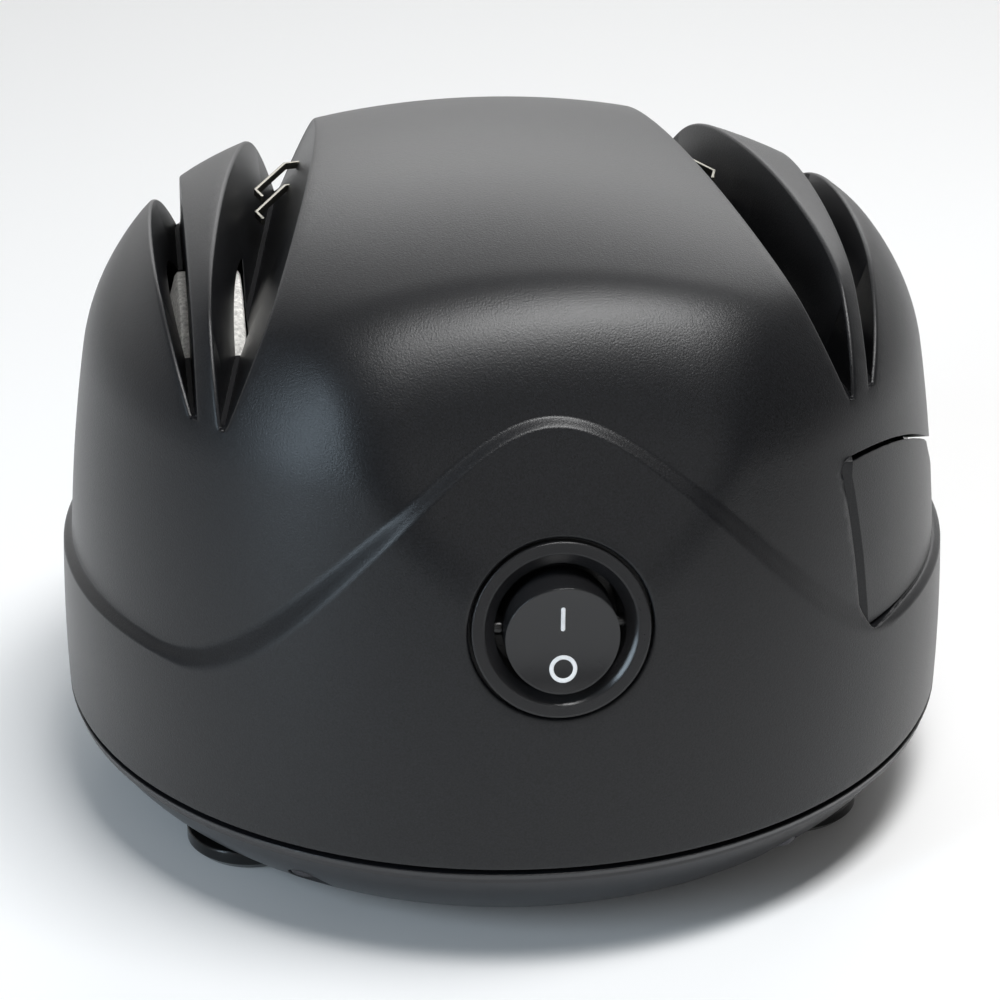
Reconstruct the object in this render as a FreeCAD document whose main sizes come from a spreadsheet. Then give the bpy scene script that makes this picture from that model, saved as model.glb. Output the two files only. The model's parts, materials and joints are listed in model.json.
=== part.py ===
"""Electric knife sharpener with two grinding wheels, four blade slots, a round rocker switch and a filings drawer.

Millimetres, +Z up, origin on the table under the middle of the round body.
The front, which carries the switch, faces -Y, and the drawer is on the +X side.
"""
import FreeCAD, Part
import math
import os

import Sketcher

doc = FreeCAD.newDocument("knife_sharpener")
V = FreeCAD.Vector
X_AXIS = V(1, 0, 0)
Y_AXIS = V(0, 1, 0)
Z_AXIS = V(0, 0, 1)
ORIGIN = V(0, 0, 0)

# Driving dimensions, in millimetres and degrees.
SIZES = {
    # Round body: belly, bowed wall, shoulder arc and crowned top.
    "body_height": 93.2,
    "belly_radius": 64.2,
    "belly_height": 22.0,
    "wall_bow": 262.0,
    "shoulder_radius": 30.0,
    "shoulder_height": 60.6,
    "crown_side_radius": 131.0,
    "crown_long_radius": 148.0,
    "crown_half_length": 35.5,
    "front_roll": 26.0,
    "front_slope": 66.0,
    "shell_wall": 2.4,
    "split_height": 15.0,
    "split_gap": 0.6,
    # Wavy step between the belly and the upper wall.
    "step_depth": 1.2,
    "lip_low": 36.8,
    "lip_rise": 37.0,
    "lip_span": 50.0,
    "band_low": 38.0,
    "band_rise": 36.0,
    "band_span": 55.0,
    # Base and feet.
    "base_floor": 3.0,
    "base_floor_inset": 10.7,
    "base_mid_height": 9.5,
    "base_mid_inset": 3.4,
    "spigot_height": 5.0,
    "spigot_wall": 1.6,
    "foot_radius": 9.3,
    "foot_inset": 17.3,
    "foot_angle": 33.7,
    "foot_edge": 1.2,
    "foot_stem": 3.2,
    "boss_radius": 4.0,
    "boss_inset": 6.9,
    "boss_angle": 56.0,
    "boss_height": 22.0,
    "boss_rib": 2.0,
    "vent_pitch": 4.0,
    "vent_width": 1.8,
    "vent_length": 28.0,
    "screw_radius": 1.5,
    "screw_head_radius": 2.8,
    "screw_head_height": 2.0,
    "screw_recess": 0.9,
    "screw_recess_width": 0.7,
    # Blade slots: lowest point at the front end, wall leans and plan angles.
    "slot_floor": 70.5,
    "slot_floor_width": 0.7,
    "inner_slot_inset": 22.8,
    "inner_slot_long": 41.0,
    "inner_slot_block_lean": 23.0,
    "inner_slot_fin_lean": 9.0,
    "inner_slot_toe": 7.5,
    "outer_slot_inset": 19.2,
    "outer_slot_block_lean": 0.0,
    "outer_slot_fin_lean": 16.5,
    "slot_wall": 1.6,
    # Blade springs: two prongs that cross each inner slot behind the wheel.
    "spring_thickness": 0.45,
    "spring_prong": 1.0,
    "spring_rise": 7.1,
    "spring_pitch": 3.4,
    "spring_root_long": 29.0,
    "spring_root": 2.2,
    "spring_reach": 11.0,
    "spring_hook": 3.0,
    # Drive line.
    "axle_height": 51.0,
    "axle_radius": 3.0,
    "wheel_radius": 24.0,
    "wheel_inset": 20.8,
    "wheel_width": 11.0,
    "wheel_rim_width": 5.0,
    "wheel_bore_radius": 6.0,
    "wheel_room": 1.6,
    "hub_flange_radius": 11.0,
    "hub_flange": 2.0,
    "nut_width": 9.0,
    "nut_thickness": 4.0,
    "stator_length": 18.0,
    "stator_width": 52.0,
    "stator_drop": 30.0,
    "rotor_radius": 11.0,
    "air_gap": 0.5,
    "end_ring_length": 2.5,
    "coil_bar": 12.0,
    "coil_wall": 1.2,
    "bearing_radius": 6.0,
    "bearing_length": 7.0,
    "bearing_clearance": 0.05,
    "bracket_thickness": 3.0,
    "bracket_inset": 23.4,
    "bolt_radius": 1.9,
    "bolt_end": 3.0,
    "bolt_head": 2.2,
    "bolt_nut": 2.6,
    "post_radius": 4.2,
    "motor_foot": 4.0,
    "fan_radius": 19.0,
    "fan_width": 7.0,
    "fan_gap": 1.5,
    "fan_hub_radius": 6.0,
    "fan_sheet": 1.2,
    "fan_blades": 9,
    # Rocker switch.
    "switch_height": 49.5,
    "switch_tilt": 13.0,
    "switch_inset": 0.9,
    "switch_flange_radius": 11.5,
    "switch_flange": 2.0,
    "switch_barrel_radius": 9.9,
    "switch_barrel": 17.5,
    "switch_mouth_radius": 8.5,
    "switch_well": 9.2,
    "rocker_radius": 7.35,
    "rocker_depth": 5.0,
    "rocker_pin_radius": 1.0,
    "rocker_pin_depth": 3.6,
    "rocker_throw": 20.0,
    "rocker_crown": 2.1,
    "rocker_rise": 2.4,
    "rocker_dish_radius": 26.0,
    "rocker_dish": 1.1,
    "switch_pocket_gap": 0.5,
    "switch_seat": 3.5,
    "switch_seat_wall": 2.5,
    "switch_clip": 5.0,
    "switch_clip_width": 3.0,
    "switch_clip_thickness": 1.6,
    "tab_width": 4.8,
    "tab_thickness": 0.8,
    "tab_length": 12.0,
    "tab_pitch": 5.5,
    "tab_tail": 8.0,
    # Filings drawer on the right side.
    "drawer_half_length": 44.7,
    "drawer_bottom": 38.2,
    "drawer_end_height": 62.4,
    "drawer_dip_height": 48.0,
    "drawer_crease_end": 58.8,
    "drawer_crease_dip": 42.4,
    "drawer_scoop": 3.0,
    "drawer_gap": 0.35,
    "tray_depth": 8.0,
    "tray_half_length": 33.0,
    "tray_wall": 1.4,
    "tray_rim_height": 47.0,
    "panel_depth": 27.7,
    "magnet_length": 24.0,
    "magnet_width": 4.0,
    "magnet_thickness": 2.0,
    # Cord inlet at the rear.
    "grommet_radius": 6.5,
    "grommet_bore_radius": 3.6,
    "grommet_height": 27.0,
    "grommet_groove": 1.5,
    "grommet_flange": 1.3,
    "fit_gap": 0.15,
}

sheet = doc.addObject("Spreadsheet::Sheet", "size")
for row, (alias, value) in enumerate(SIZES.items(), start=1):
    sheet.set("A%d" % row, alias)
    sheet.set("B%d" % row, str(value))
    sheet.setAlias("B%d" % row, alias)
doc.recompute()


class Term:
    """A number together with the sheet expression that gives it, so that sketches are drawn and bound at once."""

    def __init__(self, value, text):
        self.value = value
        self.text = text

    def __float__(self):
        return float(self.value)

    def __add__(self, other):
        return Term(self.value + float(other), "(%s + %s)" % (self.text, written(other)))

    def __sub__(self, other):
        return Term(self.value - float(other), "(%s - %s)" % (self.text, written(other)))

    def __mul__(self, other):
        return Term(self.value * float(other), "(%s * %s)" % (self.text, written(other)))

    def __truediv__(self, other):
        return Term(self.value / float(other), "(%s / %s)" % (self.text, written(other)))


def written(value):
    """The text of a term, or of a plain number."""
    return value.text if isinstance(value, Term) else repr(float(value))


class Sizes:
    """The sheet's cells, each as a term under its alias."""


size = Sizes()
for alias in SIZES:
    setattr(size, alias, Term(float(sheet.get(alias)), "size." + alias))
NOTHING = Term(0.0, "0")


def bind(thing, **terms):
    """Ties properties of an object to the sheet."""
    for name, term in terms.items():
        thing.setExpression(name.replace("__", "."), written(term))
    return thing


def body_of(label):
    """A new body and its origin planes by role."""
    body = doc.addObject("PartDesign::Body", label)
    planes = {plane.Role: plane for plane in body.Origin.OriginFeatures}
    return body, planes


def bound_sketch(body, plane, name, outlines, circles=()):
    """A sketch of closed outlines and circles whose coordinates are terms; an axis point uses NOTHING."""
    sketch = body.newObject("Sketcher::SketchObject", name)
    sketch.AttachmentSupport = [(plane, "")]
    sketch.MapMode = "FlatFace"

    def hold(kind, geometry, point, term):
        if term is NOTHING:
            axis = -2 if kind == "DistanceX" else -1
            sketch.addConstraint(Sketcher.Constraint("PointOnObject", geometry, point, axis))
            return
        place = sketch.addConstraint(Sketcher.Constraint(kind, -1, 1, geometry, point, float(term)))
        sketch.setExpression("Constraints[%d]" % place, term.text)

    for outline in outlines:
        first = sketch.GeometryCount
        corners = [V(float(across), float(along), 0) for across, along in outline]
        for start, end in zip(corners, corners[1:] + corners[:1]):
            sketch.addGeometry(Part.LineSegment(start, end), False)
        for i, (across, along) in enumerate(outline):
            following = first + (i + 1) % len(outline)
            sketch.addConstraint(Sketcher.Constraint("Coincident", first + i, 2, following, 1))
            hold("DistanceX", first + i, 1, across)
            hold("DistanceY", first + i, 1, along)
    for across, along, radius in circles:
        centre = V(float(across), float(along), 0)
        ring = sketch.addGeometry(Part.Circle(centre, Z_AXIS, float(radius)), False)
        hold("DistanceX", ring, 3, across)
        hold("DistanceY", ring, 3, along)
        place = sketch.addConstraint(Sketcher.Constraint("Radius", ring, float(radius)))
        sketch.setExpression("Constraints[%d]" % place, radius.text)
    return sketch


def turned(label, outline):
    """A body turned about its own Z axis from (radius, along) points."""
    body, planes = body_of(label)
    sketch = bound_sketch(body, planes["XZ_Plane"], label + "_profile", [outline])
    turning = body.newObject("PartDesign::Revolution", label + "_turning")
    turning.Profile = sketch
    turning.ReferenceAxis = (sketch, ["V_Axis"])
    turning.Angle = 360
    return body


def padded(label, outlines, circles, thickness):
    """A body padded both ways from its own XY plane."""
    body, planes = body_of(label)
    sketch = bound_sketch(body, planes["XY_Plane"], label + "_profile", outlines, circles)
    pad = body.newObject("PartDesign::Pad", label + "_pad")
    pad.Profile = sketch
    pad.Midplane = True
    bind(pad, Length=thickness)
    return body


def along_x(thing, x, height, flipped=False):
    """Lays a piece's own Z axis along +X, or along -X when flipped, at the axle's height or another one."""
    thing.Placement = FreeCAD.Placement(ORIGIN, FreeCAD.Rotation(Y_AXIS, -90 if flipped else 90))
    return bind(thing, Placement__Base__x=x, Placement__Base__z=height)


def primitive(kind, name, **terms):
    """A Part primitive with bound sizes."""
    return bind(doc.addObject("Part::" + kind, name), **terms)


def held(label, shape):
    """A sub-part whose shape is worked out by this source's own functions."""
    piece = doc.addObject("Part::Feature", label)
    piece.Shape = shape
    return piece


def at(x, y, z, axis=X_AXIS, angle=0.0):
    return FreeCAD.Placement(V(x, y, z), FreeCAD.Rotation(axis, angle))


def cylinder(radius, length, base, direction=Z_AXIS):
    return Part.makeCylinder(float(radius), float(length), base, direction)


def block(low, high):
    """A box between two opposite corners."""
    return Part.makeBox(high[0] - low[0], high[1] - low[1], high[2] - low[2], V(*low))


# The round body: every shell is this form, set in by some distance.
def body_radius(height, inset=0.0):
    """Radius of the bowed wall at a height, below the shoulder."""
    bow = float(size.wall_bow) - inset
    rise = height - float(size.belly_height)
    return float(size.belly_radius) - float(size.wall_bow) + math.sqrt(bow * bow - rise * rise)


BOW_CONES = 6
ARC_CONES = 10


def turned_form(inset, low):
    """Solid of revolution under the bowed wall and the shoulder arc that touches it."""
    bow_centre = float(size.belly_radius) - float(size.wall_bow)
    reach = float(size.wall_bow) - float(size.shoulder_radius)
    turn = math.asin((float(size.shoulder_height) - float(size.belly_height)) / reach)
    shoulder = V(bow_centre + reach * math.cos(turn), 0, float(size.shoulder_height))
    bow = float(size.wall_bow) - inset
    arc = float(size.shoulder_radius) - inset
    open_turn = math.radians(75)

    def on_bow(angle):
        return V(bow_centre + bow * math.cos(angle), 0, float(size.belly_height) + bow * math.sin(angle))

    def on_arc(angle):
        return shoulder + V(arc * math.cos(angle), 0, arc * math.sin(angle))

    low_turn = math.asin((low - float(size.belly_height)) / bow)
    top = float(size.body_height) + 10
    # Short cones stand in for both arcs, and keep within a few hundredths of a millimetre of them.
    corners = [V(0, 0, low)]
    corners += [on_bow(low_turn + (turn - low_turn) * i / BOW_CONES) for i in range(BOW_CONES)]
    corners += [on_arc(turn + (open_turn - turn) * i / ARC_CONES) for i in range(ARC_CONES + 1)]
    corners += [V(corners[-1].x, 0, top), V(0, 0, top), V(0, 0, low)]
    return Part.Face(Part.makePolygon(corners)).revolve(ORIGIN, Z_AXIS, 360)


def crown_form(inset):
    """Everything under the crowned top: a front-to-back outline turned about a low axis along Y."""
    high = float(size.body_height)
    crown = float(size.crown_long_radius)
    roll = float(size.front_roll)
    axis_height = high - float(size.crown_side_radius)
    start = math.asin(float(size.crown_half_length) / crown)
    end = math.radians(float(size.front_slope))
    roll_y = (crown - roll) * math.sin(start)
    roll_z = high - crown + (crown - roll) * math.cos(start)

    def on_crown(angle):
        reach = crown - inset
        return V(0, -reach * math.sin(angle), high - crown + reach * math.cos(angle))

    def on_roll(angle):
        reach = roll - inset
        return V(0, -roll_y - reach * math.sin(angle), roll_z + reach * math.cos(angle))

    def mirrored(point):
        return V(point.x, -point.y, point.z)

    half = [on_crown(start), on_roll((start + end) / 2), on_roll(end)]
    drop = half[2].z - axis_height
    tail = half[2] - V(0, drop / math.tan(end), drop)
    edges = [
        Part.Arc(mirrored(half[0]), on_crown(0), half[0]).toShape(),
        Part.Arc(*half).toShape(),
        Part.makeLine(half[2], tail),
        Part.makeLine(tail, mirrored(tail)),
        Part.makeLine(mirrored(tail), mirrored(half[2])),
        Part.Arc(*[mirrored(point) for point in reversed(half)]).toShape(),
    ]
    face = Part.Face(Part.Wire(Part.__sortEdges__(edges)))
    axis = V(0, 0, axis_height)
    return face.revolve(axis, Y_AXIS, 75).fuse(face.revolve(axis, Y_AXIS, -75)).removeSplitter()


def round_form(wall_inset, crown_inset, low):
    """The whole outer form, with its wall and its crown set in, cut off level at the bottom."""
    return turned_form(wall_inset, low).common(crown_form(crown_inset))


# The wavy step: a high crest above the switch, level round the sides and the back.
STEP_POINTS = 36


def wave(degrees, low, rise, span):
    """Height of the step: low everywhere, with a squared-cosine hill across the front."""
    away = min(abs(degrees), float(span))
    return float(low) + float(rise) * math.cos(math.radians(90.0 * away / float(span))) ** 2


def wall_point(degrees, height, radius):
    """A point at an angle from the front, seen from above, turning towards +X."""
    turn = math.radians(degrees)
    return V(radius * math.sin(turn), -radius * math.cos(turn), height)


def shoulder_limited_radius(height, inset):
    """Radius of the turned form at any height, shoulder included."""
    bow_centre = float(size.belly_radius) - float(size.wall_bow)
    reach = float(size.wall_bow) - float(size.shoulder_radius)
    turn = math.asin((float(size.shoulder_height) - float(size.belly_height)) / reach)
    if height <= float(size.belly_height) + (float(size.wall_bow)) * math.sin(turn):
        return body_radius(height, inset)
    arc = float(size.shoulder_radius) - inset
    rise = min(height - float(size.shoulder_height), arc * 0.96)
    return bow_centre + reach * math.cos(turn) + math.sqrt(arc * arc - rise * rise)


def closed_curve(place):
    """Closed smooth edge through one point for each of the step's angles."""
    turns = [360.0 * i / STEP_POINTS - 180.0 for i in range(STEP_POINTS)]
    curve = Part.BSplineCurve()
    curve.interpolate(Points=[place(degrees) for degrees in turns], PeriodicFlag=True)
    return curve.toShape()


def step_point(degrees, stretch):
    """A point on the line through the step's two edges: 0 is the upper edge and 1 the lower edge."""
    high = wave(degrees, size.band_low, size.band_rise, size.band_span)
    low = wave(degrees, size.lip_low, size.lip_rise, size.lip_span)
    inner = wall_point(degrees, high, shoulder_limited_radius(high, float(size.step_depth)))
    outer = wall_point(degrees, low, shoulder_limited_radius(low, 0.0))
    return inner + (outer - inner) * stretch


def under_step(low):
    """Ring-shaped solid of everything near the wall that lies under the wavy step."""
    inner = closed_curve(lambda degrees: step_point(degrees, -3.0))
    outer = closed_curve(lambda degrees: step_point(degrees, 4.0))
    inner_foot = closed_curve(lambda degrees: wall_point(degrees, low, float(size.belly_radius) - 12))
    outer_foot = closed_curve(lambda degrees: wall_point(degrees, low, float(size.belly_radius) + 12))
    floor = Part.Face(Part.Wire(outer_foot)).cut(Part.Face(Part.Wire(inner_foot)))
    faces = [
        Part.makeRuledSurface(inner, outer),
        Part.makeRuledSurface(outer, outer_foot),
        Part.makeRuledSurface(inner_foot, inner),
    ]
    shell = Part.Shell(faces + floor.Faces)
    solid = Part.Solid(shell)
    if solid.Volume < 0:
        solid.reverse()
    return solid


def stepped_form(low):
    """The outer form with its belly standing proud under the wavy step."""
    belly = round_form(0.0, 0.0, low).common(under_step(low - 2))
    return round_form(float(size.step_depth), 0.0, low).fuse(belly)


# Blade slots: V-shaped cuts from front to back, mirrored about the middle.
def slot_wedge(side, long, block_lean, fin_lean, toe, grow, floor_drop):
    """The left-hand V cut: its floor edge starts at the front end, and its walls lean apart going up."""
    floor = float(size.slot_floor) - floor_drop
    half = float(size.slot_floor_width) / 2 + grow
    rise = float(size.belly_radius)
    to_block = half + rise * math.tan(math.radians(float(block_lean)))
    to_fin = half + rise * math.tan(math.radians(float(fin_lean)))
    reach = float(long) + float(size.belly_radius)
    corners = [
        V(-half, -reach, floor),
        V(half, -reach, floor),
        V(to_block, -reach, floor + rise),
        V(-to_fin, -reach, floor + rise),
    ]
    wedge = Part.Face(Part.makePolygon(corners + corners[:1])).extrude(V(0, 2 * reach, 0))
    # The floor edge passes through the front end and turns in towards the back.
    wedge.rotate(V(0, -float(long), 0), Z_AXIS, -float(toe))
    wedge.translate(V(-float(side), 0, 0))
    return wedge


def slot_wedges(grow=0.0, floor_drop=0.0):
    """All four slots, each grown by a wall and lowered when asked."""
    outer = slot_wedge(size.belly_radius - size.outer_slot_inset, 0.0, size.outer_slot_block_lean,
                       size.outer_slot_fin_lean, 0.0, grow, floor_drop)
    inner = slot_wedge(size.belly_radius - size.inner_slot_inset, size.inner_slot_long,
                       size.inner_slot_block_lean, size.inner_slot_fin_lean, size.inner_slot_toe, grow, floor_drop)
    left = [outer, inner]
    return left + [wedge.mirror(ORIGIN, X_AXIS) for wedge in left]


wheel_side = size.belly_radius - size.wheel_inset


def wheel_room(side):
    """The space that a wheel turns in, cut through the walls round the slots."""
    room = float(size.wheel_room)
    width = float(size.wheel_width) + 2 * room
    start = V(side * float(wheel_side) - width / 2, 0, float(size.axle_height))
    return cylinder(float(size.wheel_radius) + room, width, start, X_AXIS)


def in_inner_slot(long, height, share, beyond=0.0):
    """A point in the left inner slot: share 0 is on its outer wall and 1 on the wall towards the middle."""
    rise = height - float(size.slot_floor)
    half = float(size.slot_floor_width) / 2
    fin = -half - rise * math.tan(math.radians(float(size.inner_slot_fin_lean)))
    middle = half + rise * math.tan(math.radians(float(size.inner_slot_block_lean)))
    toe = math.tan(math.radians(float(size.inner_slot_toe)))
    floor_x = float(size.inner_slot_inset) - float(size.belly_radius) + (long + float(size.inner_slot_long)) * toe
    return V(floor_x + fin + (middle - fin) * share + beyond, long, height)


def ribbon(path, height):
    """A flat strip on edge along a path seen from above."""
    half = float(size.spring_thickness) / 2
    near = []
    away = []
    for i, point in enumerate(path):
        ahead = path[min(i + 1, len(path) - 1)] - path[max(i - 1, 0)]
        ahead.z = 0
        ahead.normalize()
        aside = V(-ahead.y, ahead.x, 0) * half
        near.append(point + aside)
        away.append(point - aside)
    outline = near + away[::-1]
    return Part.Face(Part.makePolygon(outline + outline[:1])).extrude(V(0, 0, height))


def make_blade_spring():
    """Two prongs on one root, which is moulded into the wall of the left inner slot."""
    low = float(size.slot_floor) + float(size.spring_rise)
    long = float(size.spring_root_long)
    reach = float(size.spring_reach)
    hook = float(size.spring_hook)
    root = in_inner_slot(long + 1.0, low, 1.0, float(size.spring_root) + float(size.slot_wall))
    wall_place = in_inner_slot(long, low, 1.0)
    knee = in_inner_slot(long - reach, low, 0.3)
    tip = in_inner_slot(long - reach - hook, low, 0.55)
    prong = ribbon([root, wall_place, knee, tip], float(size.spring_prong))
    upper = prong.copy()
    upper.translate(V(0, 0, float(size.spring_pitch)))
    inner = root + (wall_place - root) * 0.3
    plate = ribbon([root, inner], float(size.spring_pitch))
    return prong.fuse([upper, plate]).removeSplitter()


# The rocker switch sits square to a line that tilts up from the front.
switch_turn = math.radians(float(size.switch_tilt))
switch_out = V(0, -math.cos(switch_turn), math.sin(switch_turn))
switch_up = V(0, math.sin(switch_turn), math.cos(switch_turn))
switch_face = V(0, -(body_radius(float(size.switch_height)) - float(size.switch_inset)),
                float(size.switch_height))


def in_switch(outwards, upwards=0.0, sideways=0.0):
    """A point measured from the middle of the switch's face."""
    return switch_face + switch_out * float(outwards) + switch_up * float(upwards) + V(float(sideways), 0, 0)


def switch_cylinder(radius, back, front):
    """A round part of the switch between two depths, the front one further out."""
    return cylinder(radius, float(front) - float(back), in_switch(back), switch_out)


def drawer_edge(position, end_height, dip_height):
    """Height of a drawer edge that dips in the middle of the drawer along Y."""
    share = (1 - math.cos(math.pi * position / float(size.drawer_half_length))) / 2
    return float(dip_height) + (float(end_height) - float(dip_height)) * share


def drawer_prism(gap, x_low, x_high):
    """Everything behind the drawer's outline as seen from the side, with its dipped top edge."""
    half = float(size.drawer_half_length) + gap
    bottom = float(size.drawer_bottom) - gap
    steps = 24
    curve = Part.BSplineCurve()
    top = []
    for i in range(steps + 1):
        position = float(size.drawer_half_length) * (2.0 * i / steps - 1)
        height = drawer_edge(position, size.drawer_end_height, size.drawer_dip_height) + gap
        top.append(V(x_low, half * (2.0 * i / steps - 1), height))
    curve.interpolate(top)
    edges = [
        curve.toShape(),
        Part.makeLine(top[-1], V(x_low, half, bottom)),
        Part.makeLine(V(x_low, half, bottom), V(x_low, -half, bottom)),
        Part.makeLine(V(x_low, -half, bottom), top[0]),
    ]
    return Part.Face(Part.Wire(edges)).extrude(V(x_high - x_low, 0, 0))


def corner_points(inset, turn):
    """Four places inside the belly's edge, at one angle from the side on both sides, front and back."""
    reach = float(size.belly_radius) - float(inset)
    side = reach * math.cos(math.radians(float(turn)))
    long = reach * math.sin(math.radians(float(turn)))
    return [(x * side, y * long) for y in (-1, 1) for x in (-1, 1)]


split_low = float(size.split_height) - float(size.split_gap) / 2
split_high = float(size.split_height) + float(size.split_gap) / 2
wall = float(size.shell_wall)
rear_face = body_radius(float(size.grommet_height))
far = float(size.belly_radius) * 1.3
fit = float(size.fit_gap)
panel_back = float(size.belly_radius) - float(size.panel_depth)
switch_seat_back = -wall - float(size.switch_seat)
screw_seat = float(size.base_mid_height) + 0.5
screw_length = float(size.boss_height) * 0.5


def tray_box(gap):
    """Outside of the drawer's tray, grown by a gap; it reaches through the panel."""
    inner = body_radius(float(size.drawer_bottom)) - wall - float(size.tray_depth)
    half = float(size.tray_half_length)
    return block((inner - gap, -half - gap, float(size.drawer_bottom) - gap),
                 (far, half + gap, float(size.tray_rim_height) + gap))


def make_upper_housing():
    """One moulding: stepped shell, slot walls, switch seat, drawer opening, screw bosses and cord hole."""
    outer = stepped_form(split_high)
    step = float(size.step_depth)
    cavity = round_form(wall + step, wall, split_high - 1)
    lining = slot_wedges(float(size.slot_wall), float(size.slot_wall))
    lining_band = block((-far, -far, float(size.slot_floor) - float(size.slot_wall)), (far, far, far * 2))
    walls = [wedge.common(lining_band) for wedge in lining]
    cavity = cavity.cut(walls)
    bosses = []
    for x, y in corner_points(size.boss_inset, size.boss_angle):
        bosses.append(cylinder(size.boss_radius, size.boss_height, V(x, y, split_high - 1)))
        rib = block((0, -float(size.boss_rib) / 2, 0), (far, float(size.boss_rib) / 2, float(size.boss_height)))
        rib.Placement = at(x, y, split_high - 1, Z_AXIS, math.degrees(math.atan2(y, x)))
        bosses.append(rib)
    cavity = cavity.cut(bosses)
    seat = switch_cylinder(float(size.switch_flange_radius) + float(size.switch_seat_wall), switch_seat_back, 3)
    cavity = cavity.cut(seat)
    shell = outer.cut(cavity)
    cuts = slot_wedges()
    cuts += [wheel_room(-1), wheel_room(1)]
    gap = float(size.switch_pocket_gap)
    cuts.append(switch_cylinder(float(size.switch_flange_radius) + gap, -float(size.switch_flange), 8))
    cuts.append(switch_cylinder(float(size.switch_barrel_radius) + gap / 2, -float(size.switch_barrel), 0))
    cuts.append(drawer_prism(float(size.drawer_gap), panel_back - float(size.drawer_gap), far))
    groove = float(size.grommet_groove)
    height = float(size.grommet_height)
    cuts.append(cylinder(float(size.grommet_radius) + fit, far, V(0, rear_face - groove, height), Y_AXIS))
    cuts.append(cylinder(float(size.grommet_radius) - groove + fit, far, V(0, rear_face - 2 * wall - step, height),
                         Y_AXIS))
    for x, y in corner_points(size.boss_inset, size.boss_angle):
        cuts.append(cylinder(float(size.screw_radius) * 0.85, screw_length, V(x, y, screw_seat)))
    springs = [make_blade_spring()]
    springs.append(springs[0].mirror(ORIGIN, X_AXIS))
    return shell.cut(cuts).cut(springs)


held("upper_housing", make_upper_housing())


# The base cover: a shallow bowl with a locating spigot, screw wells, motor posts and foot seats.
def bowl(inset, low, high):
    """The underside's curve turned about Z, set in and cut between two heights."""
    floor = float(size.base_floor)
    rim = V(body_radius(split_low) - inset, 0, split_low)
    middle = V(float(size.belly_radius) - float(size.base_mid_inset) - inset, 0, float(size.base_mid_height))
    foot = V(float(size.belly_radius) - float(size.base_floor_inset) - inset, 0, floor)
    edges = [
        Part.makeLine(V(0, 0, floor), foot),
        Part.Arc(foot, middle, rim).toShape(),
        Part.makeLine(rim, V(0, 0, split_low)),
        Part.makeLine(V(0, 0, split_low), V(0, 0, floor)),
    ]
    form = Part.Face(Part.Wire(edges)).revolve(ORIGIN, Z_AXIS, 360)
    return form.common(block((-far, -far, low), (far, far, high)))


floor_top = float(size.base_floor) + wall
stator_bottom = float(size.axle_height) - float(size.stator_drop)
post_long = float(size.stator_width) / 2 - float(size.coil_bar) / 2
foot_stem = size.foot_radius * 0.45
motor_screw_low = float(size.base_floor) + float(size.motor_foot) - float(size.screw_head_height)


def make_base_cover():
    shape = bowl(0.0, 0.0, far).cut(bowl(wall, floor_top, far))
    spigot_out = body_radius(split_high) - wall - float(size.step_depth) - 0.2
    spigot_in = spigot_out - float(size.spigot_wall)
    low = floor_top - 0.5
    ring_height = split_high + float(size.spigot_height)
    web = cylinder(spigot_out, ring_height - split_low + 1.5, V(0, 0, split_low - 1.5))
    web = web.fuse(cylinder(body_radius(split_low) - 0.5, 1.5, V(0, 0, split_low - 1.5)))
    ring = web.cut(cylinder(spigot_in, far, V(0, 0, low)))
    clearances = []
    wells = []
    shanks = []
    for x, y in corner_points(size.boss_inset, size.boss_angle):
        clearances.append(cylinder(float(size.boss_radius) + 0.3, far, V(x, y, split_low)))
        wells.append(cylinder(float(size.screw_head_radius) + 0.25, screw_seat, V(x, y, 0)))
        shanks.append(cylinder(float(size.screw_radius) + 0.2, far, V(x, y, 0)))
    ring = ring.cut(clearances)
    pillars = []
    for x, y in corner_points(size.boss_inset, size.boss_angle):
        pillars.append(cylinder(float(size.boss_radius) + 0.6, split_low - low, V(x, y, low)))
    pillars = [pillar.common(bowl(0.0, 0.0, split_low)) for pillar in pillars]
    half = float(size.stator_length) / 2
    for y in (-post_long, post_long):
        pillars.append(block((-half, y - 5, low), (half, y + 5, stator_bottom)))
    shape = shape.fuse([ring] + pillars)
    cuts = wells + shanks
    for x, y in corner_points(size.foot_inset, size.foot_angle):
        cuts.append(cylinder(foot_stem, floor_top + float(size.foot_stem), V(x, y, 0)))
    for y in (-post_long, post_long):
        cuts.append(cylinder(size.screw_radius, stator_bottom + 1, V(0, y, 0)))
        cuts.append(cylinder(float(size.screw_head_radius) + fit, float(size.base_floor) + float(size.motor_foot),
                             V(0, y, 0)))
    vents = []
    vent = float(size.vent_width) / 2
    long = float(size.vent_length) / 2
    for i in range(-3, 4):
        place = i * float(size.vent_pitch)
        vents.append(block((place - vent, -long, 0), (place + vent, long, floor_top + 1)))
    return shape.cut(cuts + vents)


held("base_cover", make_base_cover())


def screw(name, head_radius, head_height, radius, length):
    """A round-headed screw that points up its own Z axis, with a cross recess."""
    head = primitive("Cylinder", name + "_head", Radius=head_radius, Height=head_height)
    shank = primitive("Cylinder", name + "_shank", Radius=radius, Height=length)
    bind(shank, Placement__Base__z=head_height)
    screw_form = doc.addObject("Part::MultiFuse", name + "_form")
    screw_form.Shapes = [head, shank]
    long = head_radius * 1.2
    slot = primitive("Box", name + "_recess_a", Length=long, Width=size.screw_recess_width, Height=size.screw_recess)
    bind(slot, Placement__Base__x=long * -0.5, Placement__Base__y=size.screw_recess_width * -0.5)
    cross = primitive("Box", name + "_recess_b", Length=size.screw_recess_width, Width=long, Height=size.screw_recess)
    bind(cross, Placement__Base__x=size.screw_recess_width * -0.5, Placement__Base__y=long * -0.5)
    recess = doc.addObject("Part::MultiFuse", name + "_recess")
    recess.Shapes = [slot, cross]
    cut = doc.addObject("Part::Cut", name)
    cut.Base = screw_form
    cut.Tool = recess
    return cut


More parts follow.
